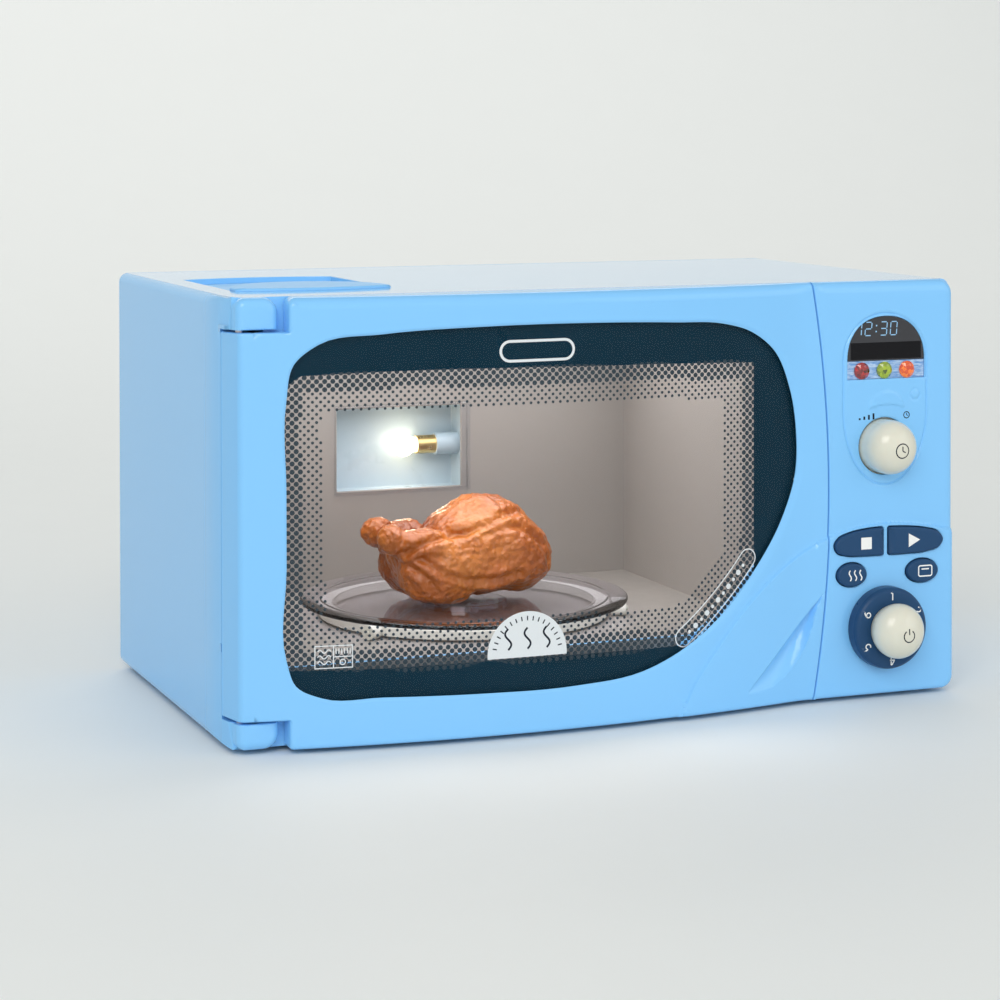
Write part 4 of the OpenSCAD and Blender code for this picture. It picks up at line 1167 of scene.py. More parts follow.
on_pane("badge_marks", Vp, Fp, 2.515, M["mark"])
# slanted capsule along the window's edge
cap, mids = stadium((29.6, 33.8), (60.8, 63.6), 3.75, mid=(46.2, 47.7))
parts = [strip(densify(cap, 1.2), 0.5, True)]
for k in range(1, 12, 1):
    parts.append(disc(mids[k], 0.75 if k % 2 else 1.15, 16))
# plain capsule at the top
cap2, _ = stadium((-47.6, 153.25), (-24.2, 153.35), 3.9)
parts.append(strip(densify(cap2, 1.2), 1.1, True))
# symbol block at the lower left
x0, x1, z0, z1 = -126.2, -111.6, 32.6, 41.2
parts += [strip([(x0, z0), (x1, z0)], 0.4), strip([(x0, z1), (x1, z1)], 0.4), strip([(x0, z0 - .2), (x0, z1 + .2)], 0.4),
          strip([(x1, z0 - .2), (x1, z1 + .2)], 0.4), strip([(-119, z0), (-119, z1)], 0.4), strip([(-119, 36.9), (x1, 36.9)], 0.4)]
for z in (34.7, 36.9, 39.1):
    parts.append(strip(wave(-125.2, -120, z, 0.65), 0.4))
for x in np.arange(-118, -112.2, 1.1):
    parts.append(strip([(x, 38), (x, 40.1)], 0.4))
parts.append(strip(circle(-115.4, 34.8, 1.05, 20), 0.4, True))
Vp, Fp = merge(parts)
on_pane("window_lines", Vp, Fp, 2.53, M["paint"])

# ---------------------------------------------------------------- control panel
SEAM_P = SEAM_R + GAP / 2
STOP_O = spline([(124.8, 60.9), (116, 61), (107, 61.6), (103, 63), (101.8, 66), (103.4, 68.6), (108, 70.6), (116, 72), (124.8, 72.5)], 6, closed=False)
START_O = spline([(127.4, 72.5), (136, 72.1), (146, 70.8), (151.5, 69), (153.4, 66.2), (151.8, 63.2), (146, 61.4), (136, 60.9), (127.4, 60.9)], 6, closed=False)


def soft_corners(p, r, which):
    rr = [0.0] * len(p)
    for w in which:
        rr[w] = r
    return round_poly(p, rr, 5)


def offset(p, g):
    """outline moved outwards by g (clockwise loop)"""
    q = grow(p, g)
    return q


STOP_O = soft_corners(densify(STOP_O, 1.2, False), 0.7, [0, -1])
START_O = soft_corners(densify(START_O, 1.2, False), 0.7, [0, -1])
GRILL_O = ellipse(109.7, 53.3, 6.9, 4.9, 48)
OVEN_O = ellipse(143.4, 53.1, 7.5, 4.9, 48)
BUTTONS = {"stop_button": (STOP_O, (113.5, 66.6), 0.9), "start_button": (START_O, (138, 66.6), 0.9),
           "grill_button": (GRILL_O, (109.7, 53.3), 1.4), "oven_button": (OVEN_O, (139.5, 53.2), 1.4)}


def arch(g=0.0):
    c, r = np.array([127.2, 143.0]), 18.5 - g
    pts = [c + r * np.array([math.copysign(abs(math.cos(a)) ** 0.9, math.cos(a)), math.sin(a) ** 0.9])
           for a in np.linspace(math.pi - 1e-6, 1e-6, 56)]
    pts += [(145.7 - g, 135 + g), (108.7 + g, 135 + g)]
    return densify(np.array(pts), 2.0)


def capsule(r):
    pts = [(126.7 + r * math.cos(a), 142.7 + r * math.sin(a)) for a in np.linspace(math.pi, 0, 60)]
    pts += [(126.7 + r * math.cos(a), 122 + (r + 11.6) * math.sin(a)) for a in np.linspace(0, -math.pi, 80)]
    return densify(np.array(pts), 1.6)


def ellipse_d(P, c, a, b):
    q = (P - np.array(c)) / np.array([a, b])
    k = np.hypot(q[:, 0], q[:, 1])
    return (k - 1) * min(a, b)


CR, CAPM = 6.0, capsule(19.95)
pan = []
prad = []


def addp(p, r):
    pan.append(p)
    prad.append(r)


xt, xb = float(seam_x(ZT, SEAM_P)), float(seam_x(ZB, SEAM_P))
for x in np.arange(xt, HW - CR - 0.5, 1.5):
    addp((x, ZT), 1.6 + 3.0 * float(smooth(xt, xt + 6, x)))
for a in np.linspace(90, 0, 10):
    addp((HW - CR + CR * math.cos(math.radians(a)), ZT - CR + CR * math.sin(math.radians(a))), 4.6 - 1.0 * (90 - a) / 90)
for z in np.linspace(ZT - CR - 1.5, ZB + CR + 1.5, 110):
    addp((HW, z), 3.6)
for a in np.linspace(0, -90, 10):
    addp((HW - CR + CR * math.cos(math.radians(a)), ZB + CR + CR * math.sin(math.radians(a))), 3.6 + 1.8 * a / 90)
for x in np.arange(HW - CR - 1.0, xb + 0.5, -1.5):
    addp((x, ZB), 1.8 if x > xb + 2 else 1.0)
addp((xb, ZB), 0.5)
for z in np.linspace(ZB + 1.4, ZT - 1.4, 110):
    addp((float(seam_x(z, SEAM_P)), z), 0.35)
pan, prad = np.array(pan), np.array(prad)
HOLES = {"arch": arch(0), "timer": circle(*TIMER, 12.1, 90), "dial": circle(*DIAL, 3.4, 24)}
for k, (o, _, _) in BUTTONS.items():
    HOLES[k] = offset(o, 0.4)


def panel_front(P, d, r):
    y = np.full(len(P), YP)
    y = y - 1.2 * raised(P)
    dc, _ = dist(P, CAPM)
    y = y + 0.62 * np.exp(-(dc / 0.5) ** 2) + 0.12 * np.where(inside(P, CAPM), 1, 0) * smooth(0, 1.4, dc)
    # crescent bulge and the small round boss under the display
    e = ellipse_d(P, (127.3, 121.8), 8.8, 8.2)
    cut = P[:, 1] - (122.3 + 1.7 * (1 - ((P[:, 0] - 127.3) / 8.8) ** 2))
    y = y - 0.5 * smooth(0.0, 0.6, -e) * smooth(-0.1, 0.4, cut)
    b = np.hypot(P[:, 0] - 141.2, P[:, 1] - 127.9)
    y = y + 0.3 * np.exp(-((b - 2.3) / 0.35) ** 2) - 0.35 * (1 - smooth(1.1, 2.0, b))
    for h, loop_h in HOLES.items():
        dh, _ = dist(P, loop_h)
        y = y + fillet(dh, 0.35 if h != "timer" else 0.5)
    return y + fillet(d, r) * np.minimum(1.0, 3.7 / np.maximum(r, 1e-6))


def build_panel():
    ex = [ring_points(pan, [-o for o in (0.12, 0.35, 0.7, 1.1, 1.6, 2.2, 3.0, 3.8, 5.0)])]
    for h in HOLES.values():
        ex.append(ring_points(h, [0.1, 0.25, 0.5, 1.0]))
    ex.append(ring_points(CAPM, [0.3, 0.6, 1.0, 1.5], both=True))
    ex.append(CAPM)
    sp = sweep_line[sweep_line[:, 0] > 94]
    ex += [sp, ring_points(sp, [0.3, 0.7, 1.1, 1.5, 2.2], closed=False, both=True)]
    ex.append(field((117, 119), (145, 132), 0.55))
    ex = np.vstack(ex)
    grid = field((96, ZB), (HW, ZT), 2.4)
    q = np.vstack([ex, grid])
    dpan, _ = dist(q, pan)
    keep = inside(q, pan) & (dpan > 0.08)
    isg = np.arange(len(q)) >= len(ex)
    keep &= ~(isg & (dpan < 5.6))
    dsp, _ = dist(q, sp, closed=False)
    keep &= ~(isg & (dsp < 2.8))
    dcp, _ = dist(q, CAPM)
    keep &= ~(isg & (dcp < 2.0))
    keep &= ~(isg & (q[:, 0] > 116) & (q[:, 0] < 146) & (q[:, 1] > 118) & (q[:, 1] < 133))
    for h in HOLES.values():
        dh, _ = dist(q, h)
        keep &= ~inside(q, h) & (dh > 0.06)
        keep &= ~(isg & (dh < 1.8))
    q = q[keep]
    key = np.round(q / 0.2).astype(int)
    _, first = np.unique(key, axis=0, return_index=True)
    q = q[np.sort(first)]
    P, T, ids = triangulate(pan, list(HOLES.values()), q)
    d, w = dist(P, pan)
    i = w.astype(int) % len(pan)
    t = w - w.astype(int)
    r = prad[i] * (1 - t) + prad[(i + 1) % len(pan)] * t
    Y = panel_front(P, d, r)
    V = [(p[0], y, p[1]) for p, y in zip(P, Y)]
    F = [list(t) for t in T]

    def wall(ring, fn):
        cur = []
        for k in ring:
            cur.append(len(V))
            V.append(fn(V[k]))
        m = len(ring)
        for a in range(m):
            b = (a + 1) % m
            F.append([ring[a], ring[b], cur[b], cur[a]])
        return cur
    wall(ids[0], lambda v: (v[0], -78.32, v[2]))
    depth = {"arch": YP + 2.5, "timer": YP + 2.5, "dial": YP + 2.5}
    backs = []
    for (k, h), ring in zip(HOLES.items(), ids[1:]):
        backs.append(wall(ring, lambda v: (v[0], YP + 2.5, v[2])))
    n0 = len(V)
    Pb, Tb, idb = triangulate(offset(pan, -2.0), list(HOLES.values()), field((96, ZB), (HW, ZT), 12))
    V.extend([(p[0], YP + 2.5, p[1]) for p in Pb])
    F.extend([[n0 + c for c in t[::-1]] for t in Tb])
    rim = [n0 + c for c in idb[0]]
    cur = []
    for k in rim:
        cur.append(len(V))
        V.append((V[k][0], -78.32, V[k][2]))
    m = len(rim)
    for a in range(m):
        b = (a + 1) % m
        F.append([rim[a], rim[b], cur[b], cur[a]])
    return V, F


V, F = build_panel()
stand_for(mesh_obj("panel_shell", V, F, M["sky"], angle=38), "control_panel")


def flat_print(name, parts, y, mat, body, slot, surf=None):
    Vp, Fp = merge(parts)
    yy = np.full(len(Vp), float(y)) if surf is None else surf(Vp)
    o = mesh_obj(name, np.c_[Vp[:, 0], yy, Vp[:, 1]], Fp, mat)
    return extra(o, body, slot)


# two small generic marks above the timer knob
parts = []
for k in range(4):
    x = 114.4 + k * 2.2
    parts.append(strip([(x, 118.0), (x, 118.8 + 0.6 * k)], 0.9))
parts.append(strip(circle(136.9, 119.3, 1.35, 24), 0.4, True))
parts.append(strip([(136.9, 119.3), (136.9, 120.2)], 0.35))
parts.append(strip([(136.9, 119.3), (137.6, 119.0)], 0.35))
flat_print("timer_marks", parts, YP + 0.12 - 0.02, M["mark"], "oven", None)

# ---------------------------------------------------------------- turned knobs


def arc_path(pts, radii, n=5):
    """open profile with rounded corners"""
    p = np.array(pts, float)
    out = [p[0]]
    for i in range(1, len(p) - 1):
        a, b, c, r = p[i - 1], p[i], p[i + 1], radii[i]
        if r <= 0:
            out.append(b)
            continue
        u, v = (a - b) / np.linalg.norm(a - b), (c - b) / np.linalg.norm(c - b)
        ang = math.acos(np.clip(u @ v, -1, 1))
        t = min(r / math.tan(ang / 2), 0.49 * np.linalg.norm(a - b), 0.49 * np.linalg.norm(c - b))
        r = t * math.tan(ang / 2)
        cc = b + (u + v) / np.linalg.norm(u + v) * r / math.sin(ang / 2)
        s, e = b + u * t - cc, b + v * t - cc
        a0, a1 = math.atan2(s[1], s[0]), math.atan2(e[1], e[0])
        d = (a1 - a0 + math.pi) % (2 * math.pi) - math.pi
        for k in range(n + 1):
            out.append(cc + r * np.array([math.cos(a0 + d * k / n), math.sin(a0 + d * k / n)]))
    out.append(p[-1])
    return np.array(out)


def lathe(name, cx, cz, y0, prof, mat, seg=96, angle=35):
    V, F, rows = [], [], []
    for r, t in prof:
        if r < 1e-6:
            rows.append([len(V)])
            V.append((cx, y0 - t, cz))
        else:
            rows.append(list(range(len(V), len(V) + seg)))
            V += [(cx + r * math.sin(2 * math.pi * k / seg), y0 - t, cz + r * math.cos(2 * math.pi * k / seg)) for k in range(seg)]
    for a, b in zip(rows[:-1], rows[1:]):
        for k in range(seg):
            m = (k + 1) % seg
            if len(a) == 1 and len(b) == 1:
                continue
            if len(a) == 1:
                F.append([a[0], b[k], b[m]])
            elif len(b) == 1:
                F.append([a[k], a[m], b[0]])
            else:
                F.append([a[k], a[m], b[m], b[k]])
    return mesh_obj(name, V, F, mat, angle)


def dome(r0, t0, t1, p=2.2, n=22):
    """rounded crown from (r0, t0) up to the axis at t1"""
    out = []
    for a in np.linspace(0, math.pi / 2, n):
        out.append((r0 * math.cos(a) ** (2 / p), t0 + (t1 - t0) * math.sin(a) ** (2 / p)))
    return out


def dome_t(r, r0, t0, t1, p=2.2):
    return t0 + (t1 - t0) * np.clip(1 - np.clip(r / r0, 0, 1) ** p, 0, 1) ** (1 / p)


base = arc_path([(0, -15.2), (3, -15.2), (3, 0), (13.2, 0), (13.2, 1), (11.4, 1), (11.4, 8.0)], [0, .3, .2, .2, .3, .2, 0])
stand_for(lathe("timer_dome", *TIMER, -79.2, list(map(tuple, base)) + dome(11.4, 8.5, 18, 2.1), M["ivory"]), "timer_knob")
base = arc_path([(0, -20.5), (3, -20.5), (3, 0), (17.2, 0), (17.2, 4.6), (16.7, 6.0), (15.6, 6.9), (10.1, 6.9), (10.1, 4.4), (0, 4.4)],
                [0, .3, .2, .25, 1.2, 1.2, 1.0, .25, .2, 0])
stand_for(lathe("power_ring", *DIAL, -84.5, base, M["navy"]), "power_dial")
base = [(0, 0), (9.8, 0), (10, 0.2), (10, 2.4)] + [tuple(q) for q in spline([(10, 2.6), (10.65, 3.8), (11.2, 5.4), (11.45, 7.3)], 5, False)[:-1]]
stand_for(lathe("power_dome", *DIAL, -88.9, base + dome(11.45, 7.3, 15.6, 2.05), M["ivory"]), "power_cap")

# numerals of the power dial, tops pointing outwards
GLYPH = {
    "1": [[(-0.45, 0.95), (0.12, 1.45), (0.12, -1.45)]],
    "2": [[(-0.85, 0.8), (-0.6, 1.25), (0, 1.45), (0.6, 1.25), (0.82, 0.75), (0.6, 0.15), (-0.9, -1.4), (0.95, -1.4)]],
    "3": [[(-0.75, 1.0), (-0.4, 1.38), (0.1, 1.45), (0.65, 1.15), (0.68, 0.6), (0.25, 0.2), (-0.1, 0.15)],
          [(0.25, 0.2), (0.75, -0.15), (0.85, -0.75), (0.45, -1.3), (-0.15, -1.45), (-0.65, -1.25), (-0.9, -0.8)]],
    "4": [[(0.45, -1.45), (0.45, 1.45), (-0.95, -0.6), (0.95, -0.6)]],
    "5": [[(0.75, 1.4), (-0.55, 1.4), (-0.75, 0.1), (-0.3, 0.35), (0.2, 0.38), (0.72, 0.0), (0.82, -0.6), (0.45, -1.25), (-0.15, -1.45), (-0.8, -1.15)]],
    "6": [[(0.45, 1.45), (-0.45, 0.55), (-0.85, -0.25), (-0.8, -0.95), (-0.35, -1.38), (0.2, -1.42), (0.72, -1.05), (0.82, -0.5), (0.5, 0.0), (0, 0.15), (-0.55, -0.05), (-0.8, -0.5)]]}
parts = []
for k in range(6):
    a = -math.radians(60 * k)
    ca, sa = math.cos(a), math.sin(a)
    for line in GLYPH[str(k + 1)]:
        q = np.array(line, float) * 1.2
        q = spline(q, 3, closed=False) if k + 1 in (2, 3, 5, 6) else q
        q = densify(q, 0.8, False)
        q = q + np.array([0, 13.85])
        q = np.c_[q[:, 0] * ca - q[:, 1] * sa, q[:, 0] * sa + q[:, 1] * ca] + np.array(DIAL)
        parts.append(strip(q, 0.52))
ring_t = np.array([[10.2, 6.9], [15.2, 6.9], [15.7, 6.78], [16.2, 6.4], [16.7, 5.9]])


def on_ring(Vp):
    r = np.hypot(Vp[:, 0] - DIAL[0], Vp[:, 1] - DIAL[1])
    return -84.5 - np.interp(r, ring_t[:, 0], ring_t[:, 1]) - 0.03


flat_print("dial_numbers", parts, 0, M["paint"], "power", None, on_ring)


def on_dome(c, y0, r0, t0, t1, p):
    def f(Vp):
        r = np.hypot(Vp[:, 0] - c[0], Vp[:, 1] - c[1])
        return y0 - dome_t(r, r0, t0, t1, p) - 0.025
    return f


# clock face on the timer knob, power sign on the dial cap
c = np.array([126.9, 106.0])
parts = [strip(circle(c[0], c[1], 3.0, 40), 0.5, True), strip(densify([c, c + (0, 1.9)], .5, False), 0.5), strip(densify([c, c + (1.4, -0.7)], .5, False), 0.5)]
flat_print("timer_symbol", parts, 0, M["mark"], "timer", None, on_dome(TIMER, -79.2, 11.4, 8.5, 18, 2.1))
c = np.array([126.0, 29.9])
a = np.linspace(math.radians(125), math.radians(415), 36)
parts = [strip(np.c_[c[0] + 2.5 * np.cos(a), c[1] + 2.5 * np.sin(a)], 0.5), strip(densify([c + (0, 0.6), c + (0, 3.1)], .5, False), 0.5)]
flat_print("power_symbol", parts, 0, M["mark"], "power", None, on_dome(DIAL, -88.9, 11.45, 7.3, 15.6, 2.05))

# ---------------------------------------------------------------- push buttons


def button(node, outline, stem, flange, body):
    """key cap with a rounded rim on a flange, and its guide stem"""
    y_front, y_fl, y_back, r = -85.8, -80.2, -79.2, 0.85
    lo, hi = outline.min(0), outline.max(0)
    ex = np.vstack([ring_points(outline, [-0.1, -0.22, -0.4, -0.62, -0.85, -1.1, -1.7]), field(lo, hi, 1.5)])
    d, _ = dist(ex, outline)
    isg = np.arange(len(ex)) >= len(ex) - len(field(lo, hi, 1.5))
    ex = ex[inside(ex, outline) & (d > 0.08) & ~(isg & (d < 2.2))]
    key = np.round(ex / 0.16).astype(int)
    _, first = np.unique(key, axis=0, return_index=True)
    P, T, ids = triangulate(outline, [], ex[np.sort(first)])
    d, _ = dist(P, outline)
    V = [(p[0], y_front + 0.02 + float(f), p[1]) for p, f in zip(P, fillet(d, r))]
    F = [list(t) for t in T]
    rim = ids[0]
    m = len(rim)

    def band(prev, pts):
        cur = list(range(len(V), len(V) + m))
        V.extend(pts)
        for i in range(m):
            k = (i + 1) % m
            F.append([prev[i], prev[k], cur[k], cur[i]])
        return cur
    wide = offset(outline, flange)
    cur = band(rim, [(V[i][0], y_fl, V[i][2]) for i in rim])
    cur = band(cur, [(q[0], y_fl, q[1]) for q in wide])
    cur = band(cur, [(q[0], y_back, q[1]) for q in wide])
    F.append(cur[::-1])
    o = mesh_obj(node + "_cap", V, F, M["navy"], angle=40)
    s = lathe(node + "_stem", stem[0], stem[1], y_back, arc_path([(0, -11.0), (2.4, -11.0), (2.4, 0.3), (0, 0.3)], [0, .3, 0, 0]), M["navy"], seg=32)
    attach(o, body)
    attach(s, body)
    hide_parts(node)


for n, (o, stem, fl) in BUTTONS.items():
    button(n, o, stem, fl, BODY[n])
yb = -85.8 - 0.02
flat_print("stop_symbol", [([(113.6, 63.9), (118.6, 63.9), (118.6, 68.9), (113.6, 68.9)], [[0, 1, 2, 3]])], yb, M["paint"], BODY["stop_button"], None)
flat_print("start_symbol", [([(136.4, 63.6), (141.9, 66.5), (136.4, 69.4)], [[0, 1, 2]])], yb, M["paint"], BODY["start_button"], None)
parts = []
for x in (108.4, 110.9, 113.4):
    zz = np.linspace(51.0, 55.4, 18)
    parts.append(strip(np.c_[x + 0.5 * np.sin((zz - 51) / 4.4 * 2 * np.pi), zz], 0.55))
flat_print("grill_symbol", parts, yb, M["paint"], BODY["grill_button"], None)
parts = [strip(round_poly([(141.2, 50.9), (141.2, 55.3), (147.6, 55.3), (147.6, 50.9)], [.8] * 4, 4), 0.55, True), strip([(142.6, 53.9), (146.2, 53.9)], 0.55)]
flat_print("oven_symbol", parts, yb, M["paint"], BODY["oven_button"], None)

# ---------------------------------------------------------------- display
soften("display_lens", [(both(lambda p: p.y < -82.3), 0.25, 2)])
flat_print("display_strip", [([(110.3, 143.3), (144.1, 143.3), (144.1, 150.4), (110.3, 150.4)], [[0, 1, 2, 3]])], -82.415, M["lcd"], "oven", None)
SEG = {"1": "bc", "2": "abged", "3": "abgcd", "0": "abcdef"}


def seven(ch, x, z, w, h, lean=0.08):
    pts = {"a": ((0, h), (w, h)), "b": ((w, h), (w, h / 2)), "c": ((w, h / 2), (w, 0)), "d": ((w, 0), (0, 0)),
           "e": ((0, 0), (0, h / 2)), "f": ((0, h / 2), (0, h)), "g": ((0, h / 2), (w, h / 2))}
    out = []
    for s in SEG[ch]:
        a, b = np.array(pts[s][0], float), np.array(pts[s][1], float)
        u = (b - a) / np.linalg.norm(b - a)
        a, b = a + u * 0.3, b - u * 0.3
        q = np.array([a, b])
        q[:, 0] += q[:, 1] * lean
        out.append(strip(q + np.array([x, z]), 0.42))
    return out


parts = []
for ch, x in (("1", 112.3), ("2", 117.1), ("3", 124.4), ("0", 129.2)):
    parts += seven(ch, x, 153.4, 3.0, 5.6)
parts += [([(122.2, 154.7), (122.8, 154.7), (122.8, 155.3), (122.2, 155.3)], [[0, 1, 2, 3]]), ([(122.4, 157.2), (123.0, 157.2), (123.0, 157.8), (122.4, 157.8)], [[0, 1, 2, 3]])]
flat_print("display_digits", parts, -82.425, M["digit"], "oven", None)


def gem(node, x, mat):
    V, F = [], []

    def ring(r, y, n, a0):
        s = len(V)
        for k in range(n):
            a = a0 + 2 * math.pi * k / n
            V.append((x + r * math.cos(a), y, 138.6 + r * math.sin(a)))
        return list(range(s, s + n))
    h = math.pi / 8
    back, girdle = ring(3.6, -82.2, 16, 0), ring(3.6, -82.75, 16, 0)
    mid, table = ring(2.95, -83.45, 8, h), ring(1.85, -84.0, 8, 0)
    for k in range(16):
        F.append([back[k], back[(k + 1) % 16], girdle[(k + 1) % 16], girdle[k]])
    for k in range(8):
        g0, g1, g2 = girdle[2 * k], girdle[2 * k + 1], girdle[(2 * k + 2) % 16]
        F += [[g0, g1, mid[k]], [g1, g2, mid[k]]]
        F.append([g0, mid[k], table[k], mid[k - 1]])
        F.append([mid[k], table[(k + 1) % 8], table[k]])
    F += [table, back[::-1]]
    o = mesh_obj(node + "_cut", V, F, mat, smooth_it=False)
    stand_for(o, node)


gem("gem_red", 115.6, M["red"])
gem("gem_green", 126.4, M["green"])
gem("gem_amber", 137.2, M["amber"])

# ---------------------------------------------------------------- play chicken
BIRD = np.array([-32.0, 2.0 + DY, 38.55])


def chicken():
    bm = bmesh.new()

    def blob(c, r, rot=(0, 0, 0)):
        m = Matrix.Translation(Vector(c)) @ (Matrix.Rotation(rot[2], 4, "Z") @ Matrix.Rotation(rot[1], 4, "Y") @ Matrix.Rotation(rot[0], 4, "X")) @ Matrix.Diagonal((*r, 1))
        bmesh.ops.create_icosphere(bm, subdivisions=4, radius=1.0, matrix=m)
    blob((8, 0, 22.0), (29, 24, 20.5))
    blob((10, 0, 29), (22, 17, 15.8), (0, 0.12, 0))
    blob((25, 0, 17.5), (15.5, 19.5, 15.5))
    blob((-14, 0, 16.5), (18, 20, 14.5), (0, -0.15, 0))
    blob((-22, 0, 20), (12, 14, 11))
    for s in (-1, 1):
        blob((-4, s * 17, 17.5), (20, 8.8, 12.5), (0, -0.22, 0))
        blob((-19, s * 13.5, 23.0), (17, 8.6, 9.6), (0, 0.30, s * 0.12))
        blob((-36.2, s * 10, 29.4), (7.0, 6.6, 6.4))
        blob((-14, s * 12, 14.0), (20, 13, 13.8))
        blob((17, s * 18.5, 20), (17, 6.6, 10.5), (0, 0.35, 0))
        blob((8, s * 21, 15), (14, 4.6, 8.0), (0, -0.3, 0))
    me = bpy.data.meshes.new("bird_raw")
    bm.to_mesh(me)
    bm.free()
    o = bpy.data.objects.new("bird_raw", me)
    scene.collection.objects.link(o)
    rm = o.modifiers.new("remesh", "REMESH")
    rm.mode = "VOXEL"
    rm.voxel_size = 0.95
    dg = bpy.context.evaluated_depsgraph_get()
    ev = o.evaluated_get(dg)
    out = bpy.data.meshes.new_from_object(ev)
    bpy.data.objects.remove(o)
    bm = bmesh.new()
    bm.from_mesh(out)
    for _ in range(5):
        bmesh.ops.smooth_vert(bm, verts=bm.verts, factor=0.5, use_axis_x=True, use_axis_y=True, use_axis_z=True)
    bm.normal_update()
    folds = [spline([(-33, 24), (-22, 29), (-8, 31), (4, 34), (18, 38), (27, 37), (33, 30)], 6, False),
             spline([(-26, 22), (-18, 16), (-8, 12.5), (6, 12), (18, 14)], 6, False),
             spline([(2, 30), (12, 33), (22, 31), (30, 24), (33, 15)], 6, False),
             spline([(-30, 18), (-24, 13), (-20, 7)], 6, False)]
    P = np.array([v.co[:] for v in bm.verts])
    N = np.array([v.normal[:] for v in bm.verts])
    q = P[:, [0, 2]]
    side = np.clip(np.abs(P[:, 1]) / 12.0, 0, 1)
    disp = np.zeros(len(P))
    for f, (dep, wid) in zip(folds, ((1.5, 1.5), (1.2, 1.6), (1.1, 1.4), (1.1, 1.4))):
        d, _ = dist(q, f, closed=False)
        disp -= dep * np.exp(-(d / wid) ** 2) * side
        disp += 0.5 * dep * np.exp(-((d - 2.6) / 1.8) ** 2) * side
    for k, (p, n) in enumerate(zip(P, N)):
        v = Vector(p)
        big = noise.noise(v * 0.11)
        mid = noise.noise(v * 0.26 + Vector((7, 3, 1)))
        cell = noise.voronoi(v * 0.40)[0][0]
        warp = noise.noise(v * 0.5 + Vector((1, 9, 4)))
        disp[k] += 1.0 * big + 0.5 * mid + 0.6 * max(0.0, 0.62 - cell) + 0.22 * warp
    P2 = P + N * disp[:, None]
    P2[:, 2] = np.maximum(P2[:, 2], 0.0 + 0.02)
    lo, hi = P2.min(0), P2.max(0)
    blo, bhi = np.array([-42.9, -26.7, 0.0]), np.array([39.9, 26.7, 45.0])
    for a in range(3):
        s = min(1.0, (bhi[a] - blo[a]) / (hi[a] - lo[a]))
        P2[:, a] = (P2[:, a] - lo[a]) * s + max(lo[a], blo[a])
        over = P2[:, a].max() - bhi[a]
        if over > 0:
            P2[:, a] -= over
    P2[:, 2] -= P2[:, 2].min()
    for v, p in zip(bm.verts, P2):
        v.co = (Vector(p) + Vector(BIRD)) * MM
    bm.to_mesh(out)
    bm.free()
    out.materials.clear()
    out.materials.append(M["roast"])
    out.shade_smooth()
    o = bpy.data.objects.new("roast_bird", out)
    scene.collection.objects.link(o)
    stand_for(o, "play_chicken")


chicken()

# ---------------------------------------------------------------- turntable plate, roller ring, wheels
prof = arc_path([(0, 5.0), (56, 5.0), (62, 6.5), (70.5, 6.5), (70.5, 8.2), (61.5, 8.2), (55.5, 6.6), (0, 6.6)],
                [0, 3, 2, .8, .8, 3, 3, 0], 6)


def lathe_z(name, cx, cy, z0, prof, mat, seg=160, angle=30):
    V, F, rows = [], [], []
    for r, t in prof:
        if r < 1e-6:
            rows.append([len(V)])
            V.append((cx, cy, z0 + t))
        else:
            rows.append(list(range(len(V), len(V) + seg)))
            V += [(cx + r * math.cos(2 * math.pi * k / seg), cy + r * math.sin(2 * math.pi * k / seg), z0 + t) for k in range(seg)]
    for a, b in zip(rows[:-1], rows[1:]):
        for k in range(seg):
            m = (k + 1) % seg
            if len(a) == 1:
                F.append([a[0], b[k], b[m]])
            elif len(b) == 1:
                F.append([a[k], a[m], b[0]])
            else:
                F.append([a[k], a[m], b[m], b[k]])
    return mesh_obj(name, V, F, mat, angle)


stand_for(lathe_z("plate_disc", TT[0], TT[1], FLOOR, list(map(tuple, prof)), M["plate"], seg=240, angle=50), "turntable_plate")
peg_ring = lathe_z("plate_ring", TT[0], TT[1], FLOOR, [(17, 2.5), (18.5, 2.5), (18.5, 4.95), (17, 4.95), (17, 2.5)], M["plate"], seg=96)
extra(peg_ring, BODY["turntable_plate"], SLOT["turntable_plate"])
for k, a in enumerate((-32, 32, 88, 152, 208, 272)):
    w = math.radians(a)
    peg = lathe_z("plate_peg_%d" % k, TT[0] + 11.5 * math.cos(w), TT[1] + 11.5 * math.sin(w), FLOOR,
                  [(0, 1.2), (1.7, 1.2), (1.7, 4.95), (0, 4.95)], M["plate"], seg=32)
    extra(peg, BODY["turntable_plate"], SLOT["turntable_plate"])
soften("roller_ring", [(anything, 0.4, 2)], angle=50)
soften("drive_coupler", [(anything, 0.15, 1)], angle=50)
for w in "abc":
    soften("roller_wheel_" + w, [(anything, 0.4, 2)], angle=50)

# ---------------------------------------------------------------- light from the lamp
lamp = bpy.data.lights.new("lamp_light", "POINT")
lamp.energy = 0.012
lamp.color = (1.0, 0.76, 0.56)
lamp.shadow_soft_size = 0.004
lo = bpy.data.objects.new("lamp_light", lamp)
lo.location = (-0.030, 0.0785 + DY * MM, 0.0947)
scene.collection.objects.link(lo)
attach(lo, "oven")

# ---------------------------------------------------------------- floor, backdrop and studio lights


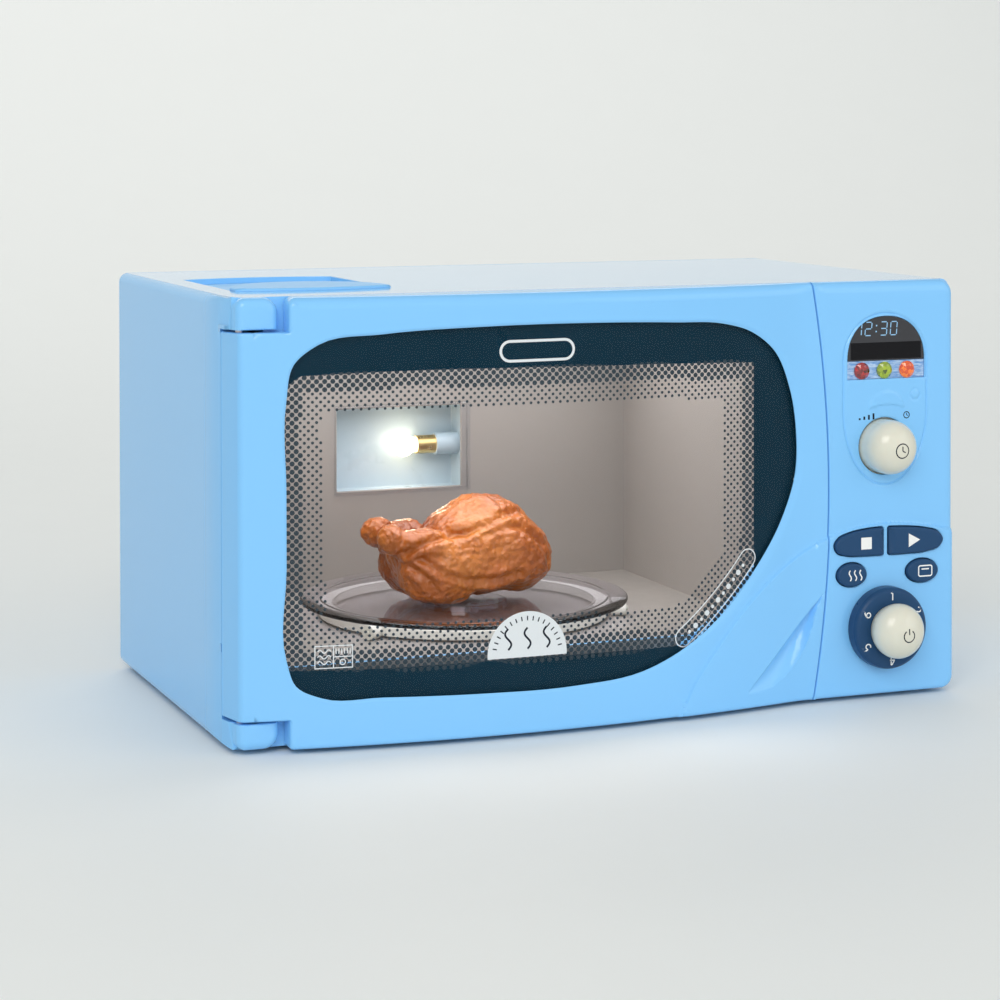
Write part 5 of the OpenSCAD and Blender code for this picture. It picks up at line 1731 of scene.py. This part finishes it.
def sheet():
    V, F = [], []
    prof = [(-3.0, 0.0)] + [(y, 0.0) for y in np.linspace(-2.0, 1.2, 9)]
    R = 1.6
    for a in np.linspace(0, 90, 14)[1:]:
        prof.append((1.2 + R * math.sin(math.radians(a)), R - R * math.cos(math.radians(a))))
    prof += [(2.8, 2.6), (2.8, 4.5)]
    xs = np.linspace(-6, 6, 13)
    for y, z in prof:
        V += [(x * 1000, y * 1000, z * 1000) for x in xs]
    n = len(xs)
    for j in range(len(prof) - 1):
        for i in range(n - 1):
            F.append([j * n + i, j * n + i + 1, (j + 1) * n + i + 1, (j + 1) * n + i])
    m = plastic("studio_paper", lin(236, 240, 240), 0.62, 0.006, 0.2, 0.0, spec=0.25)
    o = mesh_obj("studio_sheet", V, F, m)
    return o


floor = sheet()


def area(name, loc, target, size, power, col=(1, 1, 1), spread=180):
    d = bpy.data.lights.new(name, "AREA")
    d.shape = "RECTANGLE"
    d.size, d.size_y = size
    d.energy = power
    d.color = col
    d.spread = math.radians(spread)
    o = bpy.data.objects.new(name, d)
    o.location = loc
    v = Vector(target) - Vector(loc)
    o.rotation_euler = v.to_track_quat("-Z", "Y").to_euler()
    scene.collection.objects.link(o)
    return o


key = area("key_light", (-1.1, -1.9, 1.5), (0, 0, 0.08), (1.4, 1.2), 21, (1.0, 0.965, 0.915))
fill = area("fill_light", (1.6, -1.6, 0.9), (0, 0, 0.08), (1.4, 1.4), 4, (0.96, 0.98, 1.0))
back = area("back_light", (0.2, 2.3, 1.6), (0, 0.2, 0.1), (3.0, 1.0), 11, (1.0, 0.93, 0.88))
cavity = area("cavity_light", (-0.030, 0.0 + DY * MM, 0.1505), (-0.030, 0.0 + DY * MM, 0.0), (0.19, 0.12), 0.27, (1.0, 0.985, 0.97))
cavity.visible_camera = False
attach(cavity, "oven")

world = bpy.data.worlds.new("studio")
scene.world = world
world.use_nodes = True
wn = world.node_tree
bg = wn.nodes["Background"]
tc = wn.nodes.new("ShaderNodeTexCoord")
sp = wn.nodes.new("ShaderNodeSeparateXYZ")
wn.links.new(tc.outputs["Generated"], sp.inputs[0])
mr = wn.nodes.new("ShaderNodeMapRange")
mr.inputs["From Min"].default_value = -1
mr.inputs["From Max"].default_value = 1
wn.links.new(sp.outputs["Y"], mr.inputs["Value"])
cr = wn.nodes.new("ShaderNodeValToRGB")
cr.color_ramp.elements[0].position = 0.0
cr.color_ramp.elements[0].color = (0.95, 0.945, 0.925, 1)
cr.color_ramp.elements[1].position = 1.0
cr.color_ramp.elements[1].color = (0.03, 0.03, 0.03, 1)
wn.links.new(mr.outputs["Result"], cr.inputs[0])
wn.links.new(cr.outputs[0], bg.inputs["Color"])
bg.inputs["Strength"].default_value = 1.0

scene.view_settings.view_transform = "Standard"
scene.view_settings.look = "None"
scene.view_settings.exposure = 0.0
scene.view_settings.gamma = 1.0

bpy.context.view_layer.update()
